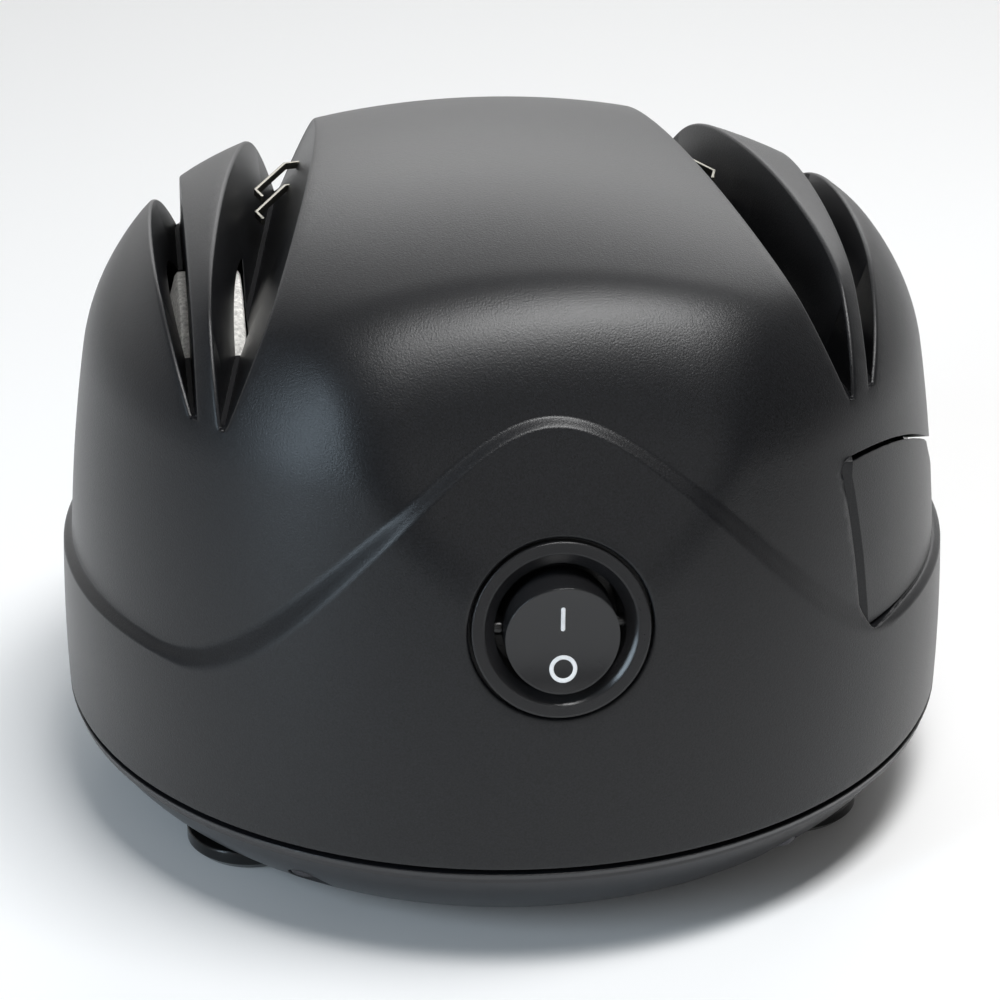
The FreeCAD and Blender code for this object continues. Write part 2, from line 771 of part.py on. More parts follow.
def group(label, source, places):
    """Copies of one piece at several places, kept together under one name."""
    doc.recompute()
    shapes = []
    for place in places:
        copy = source.Shape.copy()
        copy.Placement = place.multiply(copy.Placement)
        shapes.append(copy)
    return held(label, Part.makeCompound(shapes))


case_screw = screw("case_screw", size.screw_head_radius, size.screw_head_height, size.screw_radius * 0.85,
                   size.boss_height * 0.45)
head_low = screw_seat - float(size.screw_head_height)
group("base_screws", case_screw,
      [at(x, y, head_low) for x, y in corner_points(size.boss_inset, size.boss_angle)])

# Four rubber feet: a puck with a soft edge and a stem that plugs into the base.
FOOT_NAMES = ["foot_front_left", "foot_front_right", "foot_rear_left", "foot_rear_right"]
for label, (x, y) in zip(FOOT_NAMES, corner_points(size.foot_inset, size.foot_angle)):
    foot = turned(label, [
        (NOTHING, NOTHING),
        (size.foot_radius - size.foot_edge, NOTHING),
        (size.foot_radius, size.foot_edge),
        (size.foot_radius, size.base_floor),
        (foot_stem, size.base_floor),
        (foot_stem, size.base_floor + size.foot_stem),
        (NOTHING, size.base_floor + size.foot_stem),
    ])
    foot.Placement = at(x, y, 0)

# Cord inlet: a grooved rubber bush in the rear wall.
groove_radius = size.grommet_radius - size.grommet_groove
groove_end = size.shell_wall + size.step_depth + size.fit_gap * 2
grommet = turned("cord_grommet", [
    (size.grommet_bore_radius, NOTHING),
    (size.grommet_radius - size.grommet_flange * 0.5, NOTHING),
    (size.grommet_radius, size.grommet_flange * 0.5),
    (size.grommet_radius, size.grommet_flange),
    (groove_radius, size.grommet_flange),
    (groove_radius, groove_end),
    (size.grommet_radius, groove_end),
    (size.grommet_radius, groove_end + size.grommet_flange),
    (size.grommet_bore_radius, groove_end + size.grommet_flange),
])
grommet.Placement = at(0, rear_face - float(size.fit_gap), float(size.grommet_height), X_AXIS, 90)


# Rocker switch: a round snap-in body, a rocker on two pins, and three tabs.
def make_switch_body():
    shape = switch_cylinder(size.switch_flange_radius, -float(size.switch_flange), 0)
    shape = shape.fuse(switch_cylinder(size.switch_barrel_radius, -float(size.switch_barrel), 0))
    mouth = switch_cylinder(size.switch_mouth_radius, -float(size.switch_well), 1)
    mouth_radius = float(size.switch_mouth_radius)
    bevel = mouth_radius * 0.15
    chamfer = Part.makeCone(mouth_radius, mouth_radius + 1.25 * bevel, bevel, in_switch(-0.92 * bevel), switch_out)
    pin = cylinder(float(size.rocker_pin_radius) + float(size.bearing_clearance), 2 * pin_reach,
                   in_switch(-float(size.rocker_pin_depth), 0, -pin_reach), X_AXIS)
    clips = [clip_box(side) for side in (-1, 1)]
    tabs = [tab_box(place) for place in TAB_PLACES]
    return shape.fuse(clips).cut([mouth, chamfer, pin] + tabs)


pin_reach = float(size.switch_barrel_radius) * 0.92
TAB_PLACES = (-1, 0, 1)


def in_switch_box(width, height, length, sideways, upwards, outwards):
    """A box that stands on a point behind the switch's face and runs outwards."""
    box = Part.makeBox(width, height, length)
    box.translate(V(sideways - width / 2, upwards - height / 2, 0))
    box.Placement = FreeCAD.Placement(in_switch(outwards), FreeCAD.Rotation(Z_AXIS, switch_out)).multiply(box.Placement)
    return box


def clip_box(side):
    """A snap clip on the barrel, behind the seat in the housing."""
    length = float(size.switch_clip)
    return in_switch_box(float(size.switch_clip_thickness), float(size.switch_clip_width), length,
                         side * float(size.switch_barrel_radius), 0, switch_seat_back - fit - length)


def tab_box(place):
    """A flat tab that is moulded into the switch's back wall."""
    return in_switch_box(float(size.tab_width), float(size.tab_thickness), float(size.tab_length), 0,
                         place * float(size.tab_pitch), -float(size.switch_barrel) - float(size.tab_tail))


def make_rocker():
    """The rocker in its off position: its lower half is pressed in."""
    radius = float(size.rocker_radius)
    depth = float(size.rocker_depth)
    pin_depth = float(size.rocker_pin_depth)
    crown = float(size.rocker_crown)
    rise = float(size.rocker_rise)
    body = cylinder(radius, depth + crown, V(0, 0, -depth + pin_depth - crown), Z_AXIS)
    dish_radius = float(size.rocker_dish_radius)
    dish_height = pin_depth + crown + dish_radius - float(size.rocker_dish)
    dish = cylinder(dish_radius, 4 * radius, V(-2 * radius, 0, dish_height), X_AXIS)
    top = cylinder(radius, crown + rise, V(0, 0, pin_depth - crown), Z_AXIS)
    ball = Part.makeSphere(radius * 1.03, V(0, 0, 0))
    skirt = body.common(ball.fuse(block((-radius, -radius, 0), (radius, radius, radius))))
    shape = skirt.fuse(top).cut(dish)
    pin_half = pin_reach - float(size.fit_gap) * 2
    pins = cylinder(float(size.rocker_pin_radius), 2 * pin_half, V(-pin_half, 0, 0), X_AXIS)
    shape = shape.fuse(pins)
    tilt = FreeCAD.Rotation(X_AXIS, float(size.rocker_throw) / 2)
    shape.Placement = FreeCAD.Placement(in_switch(-pin_depth), tilt.multiply(FreeCAD.Rotation(Z_AXIS, switch_out)))
    return shape


held("switch_body", make_switch_body())
held("switch_rocker", make_rocker())
held("switch_terminals", Part.makeCompound([tab_box(place) for place in TAB_PLACES]))


# Filings drawer: a curved panel that continues the shell, with a finger scoop, and a shallow tray behind it.
def make_drawer():
    outer = turned_form(0.0, split_high)
    inner = turned_form(wall + float(size.step_depth), split_high)
    panel = outer.cut(inner).common(drawer_prism(0.0, panel_back, far))
    scoop_steps = 24
    half = float(size.drawer_half_length)
    low = []
    for i in range(scoop_steps + 1):
        position = half * (2.0 * i / scoop_steps - 1)
        height = drawer_edge(position, size.drawer_crease_end, size.drawer_crease_dip)
        low.append(V(0, position * 1.05, height))
    # The scoop falls away inwards from the crease as steeply as it rises.
    hinge_x = float(size.belly_radius) - wall / 2

    def lip(points, x):
        curve = Part.BSplineCurve()
        curve.interpolate([V(x, point.y, point.z + hinge_x - x) for point in points])
        return curve.toShape()

    slope = Part.makeRuledSurface(lip(low, far), lip(low, panel_back))
    above = slope.extrude(V(0, 0, far))
    tray = tray_box(0.0)
    inset = float(size.tray_wall)
    front = body_radius(float(size.drawer_bottom)) - wall
    end = float(size.tray_half_length) - inset
    room = block((front - float(size.tray_depth) + inset, -end, float(size.drawer_bottom) + inset),
                 (front - fit, end, far))
    tray = tray.common(turned_form(wall, split_high)).cut(room)
    return panel.cut(above).fuse(tray).removeSplitter()


def make_magnet():
    """A bar magnet on the tray's floor, which holds the steel filings."""
    inset = float(size.tray_wall)
    back = body_radius(float(size.drawer_bottom)) - wall - float(size.tray_depth) + inset
    half = float(size.magnet_length) / 2
    floor = float(size.drawer_bottom) + inset
    return block((back, -half, floor), (back + float(size.magnet_width), half, floor + float(size.magnet_thickness)))


held("filings_drawer", make_drawer())
held("drawer_magnet", make_magnet())
blade_spring = make_blade_spring()
held("blade_spring_left", blade_spring)
held("blade_spring_right", blade_spring.mirror(ORIGIN, X_AXIS))


# Drive line: one axle through the middle, with a grinding wheel at each end.
wheel_half = size.wheel_width / 2
wheel_bevel = (size.wheel_width - size.wheel_rim_width) / 2
wheel_flat = size.hub_flange_radius + 2.0


def wheel(label, side):
    piece = turned(label, [
        (size.wheel_bore_radius, NOTHING),
        (wheel_flat, NOTHING),
        (size.wheel_radius, wheel_bevel),
        (size.wheel_radius, wheel_bevel + size.wheel_rim_width),
        (wheel_flat, size.wheel_width),
        (size.wheel_bore_radius, size.wheel_width),
    ])
    return along_x(piece, wheel_side * side - wheel_half, size.axle_height)


def hub(label, side):
    """A flanged sleeve that fills the wheel's bore; its flange is on the motor's side."""
    piece = turned(label, [
        (size.axle_radius, NOTHING),
        (size.hub_flange_radius, NOTHING),
        (size.hub_flange_radius, size.hub_flange),
        (size.wheel_bore_radius, size.hub_flange),
        (size.wheel_bore_radius, size.hub_flange + size.wheel_width),
        (size.axle_radius, size.hub_flange + size.wheel_width),
    ])
    inner = wheel_half + size.hub_flange
    x = wheel_side - inner if side > 0 else (NOTHING - wheel_side) + inner
    return along_x(piece, x, size.axle_height, side < 0)


def nut(label, side):
    """A hexagon nut that clamps the wheel against its hub."""
    hexagon = bind(doc.addObject("Part::Prism", label + "_hexagon"), Height=size.nut_thickness)
    hexagon.Polygon = 6
    bind(hexagon, Circumradius=size.nut_width)
    bore = primitive("Cylinder", label + "_bore", Radius=size.axle_radius, Height=size.nut_thickness)
    cut = doc.addObject("Part::Cut", label)
    cut.Base = hexagon
    cut.Tool = bore
    reach = wheel_half
    x = wheel_side + reach if side > 0 else (NOTHING - wheel_side) - reach
    return along_x(cut, x, size.axle_height, side < 0)


for label, side in (("left", -1), ("right", 1)):
    wheel("grinding_wheel_" + label, side)
    hub("wheel_hub_" + label, side)
    nut("wheel_nut_" + label, side)

axle_half = wheel_side + wheel_half + size.nut_thickness + 1.5
axle = turned("axle", [
    (NOTHING, NOTHING),
    (size.axle_radius - 0.5, NOTHING),
    (size.axle_radius, NOTHING + 0.5),
    (size.axle_radius, axle_half * 2 - 0.5),
    (size.axle_radius - 0.5, axle_half * 2),
    (NOTHING, axle_half * 2),
])
along_x(axle, NOTHING - axle_half, size.axle_height)

rotor = padded("rotor_core", [], [(NOTHING, NOTHING, size.rotor_radius), (NOTHING, NOTHING, size.axle_radius)],
               size.stator_length)
along_x(rotor, NOTHING, size.axle_height)
for label, side in (("left", -1), ("right", 1)):
    ring = padded("rotor_end_ring_" + label, [],
                  [(NOTHING, NOTHING, size.rotor_radius - 0.8), (NOTHING, NOTHING, size.rotor_radius - 5.0)],
                  size.end_ring_length)
    along_x(ring, (size.stator_length + size.end_ring_length) / 2 * side, size.axle_height)


# Stator: a laminated frame with the rotor's bore above and a bar for the coil below.
def stator_outline():
    half = size.stator_width / 2
    left = NOTHING - half
    top = size.rotor_radius + size.air_gap + 6.0
    bottom = NOTHING - size.stator_drop
    return [(left, bottom), (half, bottom), (half, top), (left, top)]


def stator_window():
    half = size.stator_width / 2 - size.coil_bar
    low = (NOTHING - size.stator_drop) + size.coil_bar * 0.75
    high = NOTHING - size.rotor_radius - size.air_gap - 3.5
    return [(NOTHING - half, low), (half, low), (half, high), (NOTHING - half, high)]


bolt_place = size.stator_width / 2 - size.coil_bar / 2
stator = padded("stator_core", [stator_outline(), stator_window()], [
    (NOTHING, NOTHING, size.rotor_radius + size.air_gap),
    (bolt_place, NOTHING, size.bolt_radius + size.fit_gap),
    (NOTHING - bolt_place, NOTHING, size.bolt_radius + size.fit_gap),
], size.stator_length)
stator.Placement = FreeCAD.Placement(ORIGIN, FreeCAD.Rotation(V(0, 1, 0), V(0, 0, 1), V(1, 0, 0)))
bind(stator, Placement__Base__z=size.axle_height)


def make_coil(outside, inside, length):
    """A square tube round the stator's lower bar."""
    bar_low = stator_bottom
    bar_high = stator_bottom + float(size.coil_bar) * 0.75
    half = float(size.stator_length) / 2
    outer = block((-half - outside, -length, bar_low - outside), (half + outside, length, bar_high + outside))
    inner = block((-half - inside, -length, bar_low - inside), (half + inside, length, bar_high + inside))
    return outer.cut(inner)


coil_length = float(size.stator_width) / 2 - float(size.coil_bar) - 0.3
coil_wall = float(size.coil_wall)
window_high = float(size.axle_height) - float(size.rotor_radius) - float(size.air_gap) - 3.5
coil_outside = window_high - (stator_bottom + float(size.coil_bar) * 0.75) - 0.3
flanges = make_coil(coil_outside, 0.1, coil_length).cut(make_coil(coil_outside + 1, coil_wall, coil_length - coil_wall))
held("coil_bobbin", flanges.fuse(make_coil(coil_wall, 0.1, coil_length)).removeSplitter())
held("coil_winding", make_coil(coil_outside - 0.5, coil_wall, coil_length - coil_wall))


# Bearing brackets: a bar on two posts, with a round seat for a bush in the middle.
bracket_reach = wheel_side - size.bracket_inset


def make_bracket(side):
    half = float(size.stator_length) / 2
    reach = float(bracket_reach)
    place = float(bolt_place)
    height = float(size.axle_height)
    direction = X_AXIS * side
    base = V(side * (reach - float(size.bracket_thickness)), 0, height)
    end = place + float(size.post_radius)
    rise = float(size.bearing_radius)
    bar = block((reach - float(size.bracket_thickness), -end, height - rise), (reach, end, height + rise))
    if side < 0:
        bar = bar.mirror(ORIGIN, X_AXIS)
    seat = cylinder(float(size.bearing_radius) + 2.5, size.bearing_length, base, direction)
    posts = [cylinder(size.post_radius, reach - half, V(side * half, y, height), direction) for y in (-place, place)]
    shape = bar.fuse([seat] + posts)
    holes = [cylinder(float(size.bolt_radius) + fit, far, V(0, y, height), direction) for y in (-place, place)]
    return shape.cut(holes + [cylinder(size.bearing_radius, far, V(0, 0, height), direction)])


bush_start = bracket_reach - size.bracket_thickness
for label, side in (("left", -1), ("right", 1)):
    held("bearing_bracket_" + label, make_bracket(side))
    bush = turned("bearing_bush_" + label, [
        (size.axle_radius + size.bearing_clearance, NOTHING),
        (size.bearing_radius, NOTHING),
        (size.bearing_radius, size.bearing_length),
        (size.axle_radius + size.bearing_clearance, size.bearing_length),
    ])
    along_x(bush, bush_start if side > 0 else NOTHING - bush_start, size.axle_height, side < 0)


def make_bolt(y):
    height = float(size.axle_height)
    reach = float(bracket_reach)
    head_radius = float(size.bolt_radius) * 1.85
    head_height = float(size.bolt_head)
    shank = cylinder(size.bolt_radius, 2 * reach + float(size.bolt_end), V(-reach, y, height), X_AXIS)
    head = cylinder(head_radius, head_height, V(-reach - head_height, y, height), X_AXIS)
    end_nut = cylinder(head_radius, size.bolt_nut, V(reach, y, height), X_AXIS)
    return shank.fuse([head, end_nut])


held("motor_bolts", Part.makeCompound([make_bolt(-float(bolt_place)), make_bolt(float(bolt_place))]))
motor_screw = screw("motor_screw", size.screw_head_radius, size.screw_head_height, size.screw_radius,
                    size.axle_height - size.stator_drop - size.base_floor - size.motor_foot)
group("motor_screws", motor_screw, [at(0, y, motor_screw_low) for y in (-post_long, post_long)])


# Cooling fan: flat blades between a hub and a backing disc.
def make_fan():
    hub_radius = float(size.fan_hub_radius)
    width = float(size.fan_width)
    half = float(size.fan_sheet) / 2
    disc = cylinder(size.fan_radius, size.fan_sheet, V(0, 0, 0))
    shape = disc.fuse(cylinder(hub_radius, width, V(0, 0, 0)))
    count = int(round(float(size.fan_blades)))
    blades = []
    for i in range(count):
        blade = block((hub_radius - half, -half, half), (float(size.fan_radius), half, width))
        blade.rotate(V(hub_radius, 0, 0), Z_AXIS, 25)
        blade.rotate(ORIGIN, Z_AXIS, 360.0 * i / count)
        blades.append(blade)
    inside = cylinder(size.fan_radius, width, V(0, 0, 0))
    shape = shape.fuse([blade.common(inside) for blade in blades])
    return shape.cut(cylinder(size.axle_radius, width + 2, V(0, 0, -1)))


fan = held("cooling_fan", make_fan())
fan_place = float(bush_start) + float(size.bearing_length) + float(size.fan_gap)
fan.Placement = FreeCAD.Placement(V(-fan_place, 0, float(size.axle_height)), FreeCAD.Rotation(Y_AXIS, -90))


# Every sub-part has to be sound before it is written.
KINDS = ("PartDesign::Body", "Part::Feature", "Part::Cut")
doc.recompute()
for thing in doc.Objects:
    if "Invalid" in thing.State or "Error" in thing.State:
        raise SystemExit("%s failed: %s" % (thing.Label, thing.State))

PIECES = [thing for thing in doc.Objects
          if thing.TypeId in KINDS and not thing.Label.endswith("_screw")
          and not [user for user in thing.InList if user.TypeId.startswith("Part::")]]
os.makedirs("parts", exist_ok=True)
for piece in PIECES:
    shape = piece.Shape
    if shape.isNull() or not shape.isValid():
        raise SystemExit("%s has no sound shape" % piece.Label)
    shape.exportStep("parts/%s.step" % piece.Label)
print("wrote %d sub-parts" % len(PIECES))
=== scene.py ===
# %% [markdown]
# # A round electric knife sharpener, dressed over its imported frame
# The frame gives every sub-part at its real place. This notebook keeps the mechanism as it is and
# makes the pieces that a buyer sees most: a satin moulding with a wavy step and four blade slots, a drawer
# in the side, full grinding wheels and the rocker's marks; the round rocker switch, the shallow base and
# the glossy rubber feet keep their frame shapes and get finishes.

# %% Load the frame
import json
import math

import bmesh
import bpy
import numpy as np
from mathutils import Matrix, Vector
from mathutils.geometry import delaunay_2d_cdt


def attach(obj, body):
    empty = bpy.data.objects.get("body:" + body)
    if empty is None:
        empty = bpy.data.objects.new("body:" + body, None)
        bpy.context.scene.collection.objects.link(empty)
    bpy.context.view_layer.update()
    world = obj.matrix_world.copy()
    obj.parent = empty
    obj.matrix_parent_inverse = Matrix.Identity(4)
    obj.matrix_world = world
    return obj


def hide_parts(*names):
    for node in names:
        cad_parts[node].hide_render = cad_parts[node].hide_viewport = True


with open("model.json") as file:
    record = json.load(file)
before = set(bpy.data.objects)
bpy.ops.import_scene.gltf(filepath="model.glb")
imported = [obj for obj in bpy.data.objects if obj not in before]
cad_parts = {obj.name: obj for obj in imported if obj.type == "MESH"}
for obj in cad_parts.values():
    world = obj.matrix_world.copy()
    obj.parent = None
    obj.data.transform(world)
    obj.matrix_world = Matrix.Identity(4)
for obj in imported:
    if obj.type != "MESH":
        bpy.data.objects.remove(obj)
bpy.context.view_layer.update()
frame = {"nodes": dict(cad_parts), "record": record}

MM = 0.001

# %% [markdown]
# ## The camera comes first
# The photograph looks down from 25 degrees above the table and a little from the left. The distance
# decides how much the back of the round body shrinks, so it was fitted together with the outline.

# %% Camera
CAMERA_TARGET = np.array([0.0, 0.0, 38.8]) * MM
CAMERA_DISTANCE = 0.450
CAMERA_AZIMUTH = math.radians(-7.05)
CAMERA_ELEVATION = math.radians(25.3)
FOCAL_PIXELS = 3073.0
FRAME_PIXELS = 1000.0
SENSOR = 36.0

camera_back = np.array([
    math.sin(CAMERA_AZIMUTH) * math.cos(CAMERA_ELEVATION),
    -math.cos(CAMERA_AZIMUTH) * math.cos(CAMERA_ELEVATION),
    math.sin(CAMERA_ELEVATION),
])
camera_data = bpy.data.cameras.new("camera")
camera_data.sensor_width = SENSOR
camera_data.lens = FOCAL_PIXELS / FRAME_PIXELS * SENSOR
camera_data.shift_x = -2.0 / FRAME_PIXELS
camera_data.clip_start = 0.01
camera = bpy.data.objects.new("camera", camera_data)
bpy.context.scene.collection.objects.link(camera)
camera.location = Vector(CAMERA_TARGET + camera_back * CAMERA_DISTANCE)
camera.rotation_euler = (-Vector(camera_back)).to_track_quat("-Z", "Y").to_euler()
bpy.context.scene.camera = camera
bpy.context.scene.view_settings.view_transform = "Standard"
print("lens %.1f mm" % camera_data.lens)

# %% [markdown]
# ## The shape of the body, as one function
# The moulding is a bowed wall with a shoulder, cut by a crowned top that rolls down at the front and
# the back. Each of these forms answers one question: how far is the skin from a point inside, along
# a ray? The smallest answer is the skin, and a soft minimum rolls one form into the next.

# %% Skin of the body
BODY_HEIGHT = 93.2
BELLY_RADIUS = 64.2
BELLY_HEIGHT = 22.0
WALL_BOW = 262.0
SHOULDER_RADIUS = 30.0
SHOULDER_HEIGHT = 60.6
CROWN_SIDE_RADIUS = 131.0
CROWN_LONG_RADIUS = 148.0
CROWN_HALF_LENGTH = 35.5
FRONT_ROLL = 26.0
FRONT_SLOPE = math.radians(66.0)
CENTRE_HEIGHT = 30.0
ROLL_SOFTNESS = 11.7
SHOULDER_SOFTNESS = 1.6
STEP_DEPTH = 1.2
STEP_SOFTNESS = 0.35
STEP_FADE_TILT = math.radians(60.0)
STEP_FADE_SPAN = math.radians(22.0)
OVER_TILT = math.radians(50.0)
OVER_GAIN = 60.0


def soft_minimum(a, b, softness):
    """The smaller of a and b, rounded where they differ by less than softness:
    min(a, b) - (softness - |a - b|)^2 / (4 softness)."""
    overlap = np.clip(softness - np.abs(a - b), 0.0, None)
    return np.minimum(a, b) - overlap**2 / (4.0 * softness)


def circle_exit(across, up, centre_across, centre_up, radius):
    """Distance along a unit ray from the body's centre to the far side of a circle."""
    along = across * centre_across + up * centre_up
    return along + np.sqrt(np.clip(along**2 - centre_across**2 - centre_up**2 + radius**2, 0.0, None))


def ramp_line():
    """Unit normal (across, up) and offset of the slope that follows the front roll."""
    start = math.asin(CROWN_HALF_LENGTH / CROWN_LONG_RADIUS)
    across = (CROWN_LONG_RADIUS - FRONT_ROLL) * math.sin(start) + FRONT_ROLL * math.sin(FRONT_SLOPE)
    up = BODY_HEIGHT - CROWN_LONG_RADIUS
    up += (CROWN_LONG_RADIUS - FRONT_ROLL) * math.cos(start) + FRONT_ROLL * math.cos(FRONT_SLOPE)
    normal = (math.sin(FRONT_SLOPE), math.cos(FRONT_SLOPE))
    return normal, normal[0] * across + normal[1] * (up - CENTRE_HEIGHT)


def smooth_reach(turn, tilt):
    """Distance from the centre to the unstepped skin, for a ray that turns from the front (turn)
    and rises above level (tilt): the soft minimum of crown, ramps, shoulder and bowed wall."""
    across, up = np.cos(tilt), np.sin(tilt)
    side, long = np.sin(turn), np.cos(turn)
    crown_radius = 1.0 / (side**2 / CROWN_SIDE_RADIUS + long**2 / CROWN_LONG_RADIUS)
    crown = circle_exit(across, up, 0.0, BODY_HEIGHT - CENTRE_HEIGHT - crown_radius, crown_radius)
    normal, offset = ramp_line()
    facing = across * np.abs(long) * normal[0] + up * normal[1]
    ramp = np.where(facing > 1e-3, offset / np.maximum(facing, 1e-3), 1e3)
    top = soft_minimum(crown, ramp, ROLL_SOFTNESS)
    bow_across = BELLY_RADIUS - WALL_BOW
    bow = circle_exit(across, up, bow_across, BELLY_HEIGHT - CENTRE_HEIGHT, WALL_BOW)
    reach = WALL_BOW - SHOULDER_RADIUS
    lift = math.asin((SHOULDER_HEIGHT - BELLY_HEIGHT) / reach)
    shoulder_across = bow_across + reach * math.cos(lift)
    shoulder = circle_exit(across, up, shoulder_across, SHOULDER_HEIGHT - CENTRE_HEIGHT, SHOULDER_RADIUS)
    touch = math.atan2(BELLY_HEIGHT + WALL_BOW * math.sin(lift) - CENTRE_HEIGHT,
                       bow_across + WALL_BOW * math.cos(lift))
    # Above the shoulder the wall's own circle would turn in over the crown, so it is let go gently.
    over = np.clip(tilt - OVER_TILT, 0.0, None) ** 2
    wall = np.where(tilt > touch, shoulder, bow) + OVER_GAIN * over * (1.0 + over)
    return soft_minimum(top, wall, SHOULDER_SOFTNESS)


LIP_LOW, LIP_RISE, LIP_SPAN = 36.8, 37.0, math.radians(50.0)
BAND_LOW, BAND_RISE, BAND_SPAN = 38.1, 36.6, math.radians(55.0)


def wave(turn, low, rise, span):
    """Height of an edge of the step: low, plus a squared-cosine hill across the front."""
    away = np.minimum(np.abs(turn), span)
    return low + rise * np.cos(0.5 * math.pi * away / span) ** 2


def lip_height(turn):
    return wave(turn, LIP_LOW, LIP_RISE, LIP_SPAN)


def band_height(turn):
    return wave(turn, BAND_LOW, BAND_RISE, BAND_SPAN)


def skin(turn, tilt):
    """Points of the finished skin, in millimetres: the smooth reach, set in by the step's depth above
    the wavy band, with a straight slope between the band's two edges."""
    reach = smooth_reach(turn, tilt)
    height = CENTRE_HEIGHT + reach * np.sin(tilt)
    low, high = lip_height(turn), band_height(turn)
    share = np.clip((height - low) / (high - low), 0.0, 1.0)
    share = share - np.sin(2.0 * math.pi * share) / (2.0 * math.pi) * STEP_SOFTNESS
    fade = np.clip((STEP_FADE_TILT - tilt) / STEP_FADE_SPAN, 0.0, 1.0)
    inset = STEP_DEPTH * share * fade * fade * (3.0 - 2.0 * fade)
    across = reach * np.cos(tilt) - inset
    return np.stack([across * np.sin(turn), -across * np.cos(turn), height], axis=-1)


sample = skin(np.radians([0.0, 0.0, 90.0, 180.0]), np.radians([90.0, 0.0, 0.0, 0.0]))
print("top, front, right and rear of the skin, mm:", np.round(sample, 2).tolist())

# %% [markdown]
# ## One flat chart for every edge of the moulding
# The skin is unrolled onto a disc, with the top in the middle and the bottom edge as its rim. Every
# slot, pocket and step becomes a line on that disc, and a constrained triangulation joins all the
# lines and a field of plain points into one mesh. No boolean touches the visible skin, so each
# moulded edge can keep its own small radius.

# %% Chart of the skin
SPLIT_HIGH = 15.3
DISC_RADIUS = 130.0


def wall_at(height):
    """Radius of the bowed wall at a height."""
    return BELLY_RADIUS - WALL_BOW + np.sqrt(WALL_BOW**2 - (height - BELLY_HEIGHT) ** 2)


TILT_LOW = math.atan2(SPLIT_HIGH - CENTRE_HEIGHT, wall_at(SPLIT_HIGH))
TILT_SPAN = 0.5 * math.pi - TILT_LOW


def to_disc(turn, tilt):
    """Chart coordinates: the angle down from the top becomes the distance from the middle."""
    away = (0.5 * math.pi - tilt) / TILT_SPAN * DISC_RADIUS
    return np.stack([away * np.sin(turn), -away * np.cos(turn)], axis=-1)


def from_disc(flat):
    """Turn and tilt of chart points, the reverse of to_disc."""
    away = np.hypot(flat[..., 0], flat[..., 1])
    return np.arctan2(flat[..., 0], -flat[..., 1]), 0.5 * math.pi - away / DISC_RADIUS * TILT_SPAN


def bisect(low, high, above, rounds=32):
    """Halves the span between arrays low and high; above(middle) says where the answer is higher."""
    for _ in range(rounds):
        middle = 0.5 * (low + high)
        up = above(middle)
        low = np.where(up, middle, low)
        high = np.where(up, high, middle)
    return 0.5 * (low + high)


def tilt_over(x, y):
    """Tilt of the skin point above (x, y): the skin's radius shrinks as the ray rises."""
    turn, radius = np.arctan2(x, -y), np.hypot(x, y)
    zeros = np.zeros_like(radius)
    return turn, bisect(zeros, zeros + 0.5 * math.pi,
                        lambda tilt: np.hypot(*np.moveaxis(skin(turn, tilt)[..., :2], -1, 0)) > radius)


def tilt_at_height(turn, height):
    """Tilt of the skin point at a height, on the wall."""
    low = np.full_like(turn, TILT_LOW)
    return bisect(low, low + TILT_SPAN * 0.999, lambda tilt: skin(turn, tilt)[..., 2] < height)


def skin_normal(turn, tilt):
    """Outward unit normal, from central differences across the skin."""
    step = 1e-4
    tilt = np.minimum(tilt, 0.5 * math.pi - 2 * step)
    around = skin(turn + step, tilt) - skin(turn - step, tilt)
    upward = skin(turn, tilt + step) - skin(turn, tilt - step)
    normal = np.cross(around, upward)
    length = np.linalg.norm(normal, axis=-1, keepdims=True)
    normal = normal / np.maximum(length, 1e-12)
    point = skin(turn, tilt) - np.array([0.0, 0.0, CENTRE_HEIGHT])
    return normal * np.sign(np.sum(normal * point, axis=-1, keepdims=True))


def resample(points, count, closed=False):
    """The same line through evenly spaced points."""
    line = np.vstack([points, points[:1]]) if closed else points
    run = np.concatenate([[0.0], np.cumsum(np.linalg.norm(np.diff(line, axis=0), axis=1))])
    stops = np.linspace(0.0, run[-1], count + 1)[:-1] if closed else np.linspace(0.0, run[-1], count)
    return np.stack([np.interp(stops, run, line[:, k]) for k in range(line.shape[1])], axis=-1)


print("bottom edge of the skin at tilt %.2f degrees" % math.degrees(TILT_LOW))

# %% [markdown]
# ## The four blade slots
# Each slot is a V with a flat wall on either side. The two inner slots toe in towards the back, and
# every wall leans by its own angle, so the knife is led down to the wheel at the right bevel.

# %% Slots
SLOT_FLOOR = 70.5
SLOT_HALF_FLOOR = 0.35
EDGE_ROUND = 0.5
SLOTS = {
    "outer": {"side": 45.0, "long": 0.0, "block": 0.0, "fin": 16.5, "toe": 0.0},
    "inner": {"side": 41.4, "long": 41.0, "block": 23.0, "fin": 9.0, "toe": 7.5},
}


def slot_floor_x(slot, y):
    """Sideways place of the floor line of a left-hand slot."""
    return -slot["side"] + (y + slot["long"]) * math.tan(math.radians(slot["toe"]))


def slot_wall_x(slot, wall, y, z, grow=0.0):
    """Sideways place of one wall of a left-hand slot, pushed back from the slot by grow."""
    lean = math.radians(slot[wall])
    sign = 1.0 if wall == "block" else -1.0
    away = SLOT_HALF_FLOOR + (z - SLOT_FLOOR) * math.tan(lean) + grow / math.cos(lean)
    return slot_floor_x(slot, y) + sign * away / math.cos(math.radians(slot["toe"]))


def slot_distance(slot, points):
    """Distance of points from a left-hand slot's V: the largest of the distances to its three planes."""
    x, y, z = points[..., 0], points[..., 1], points[..., 2]
    across = (x - slot_floor_x(slot, y)) * math.cos(math.radians(slot["toe"]))
    rise = z - SLOT_FLOOR
    sides = []
    for wall, sign in (("block", 1.0), ("fin", -1.0)):
        lean = math.radians(slot[wall])
        sides.append((sign * across - SLOT_HALF_FLOOR - rise * math.tan(lean)) * math.cos(lean))
    return np.maximum(np.maximum(sides[0], sides[1]), -rise)


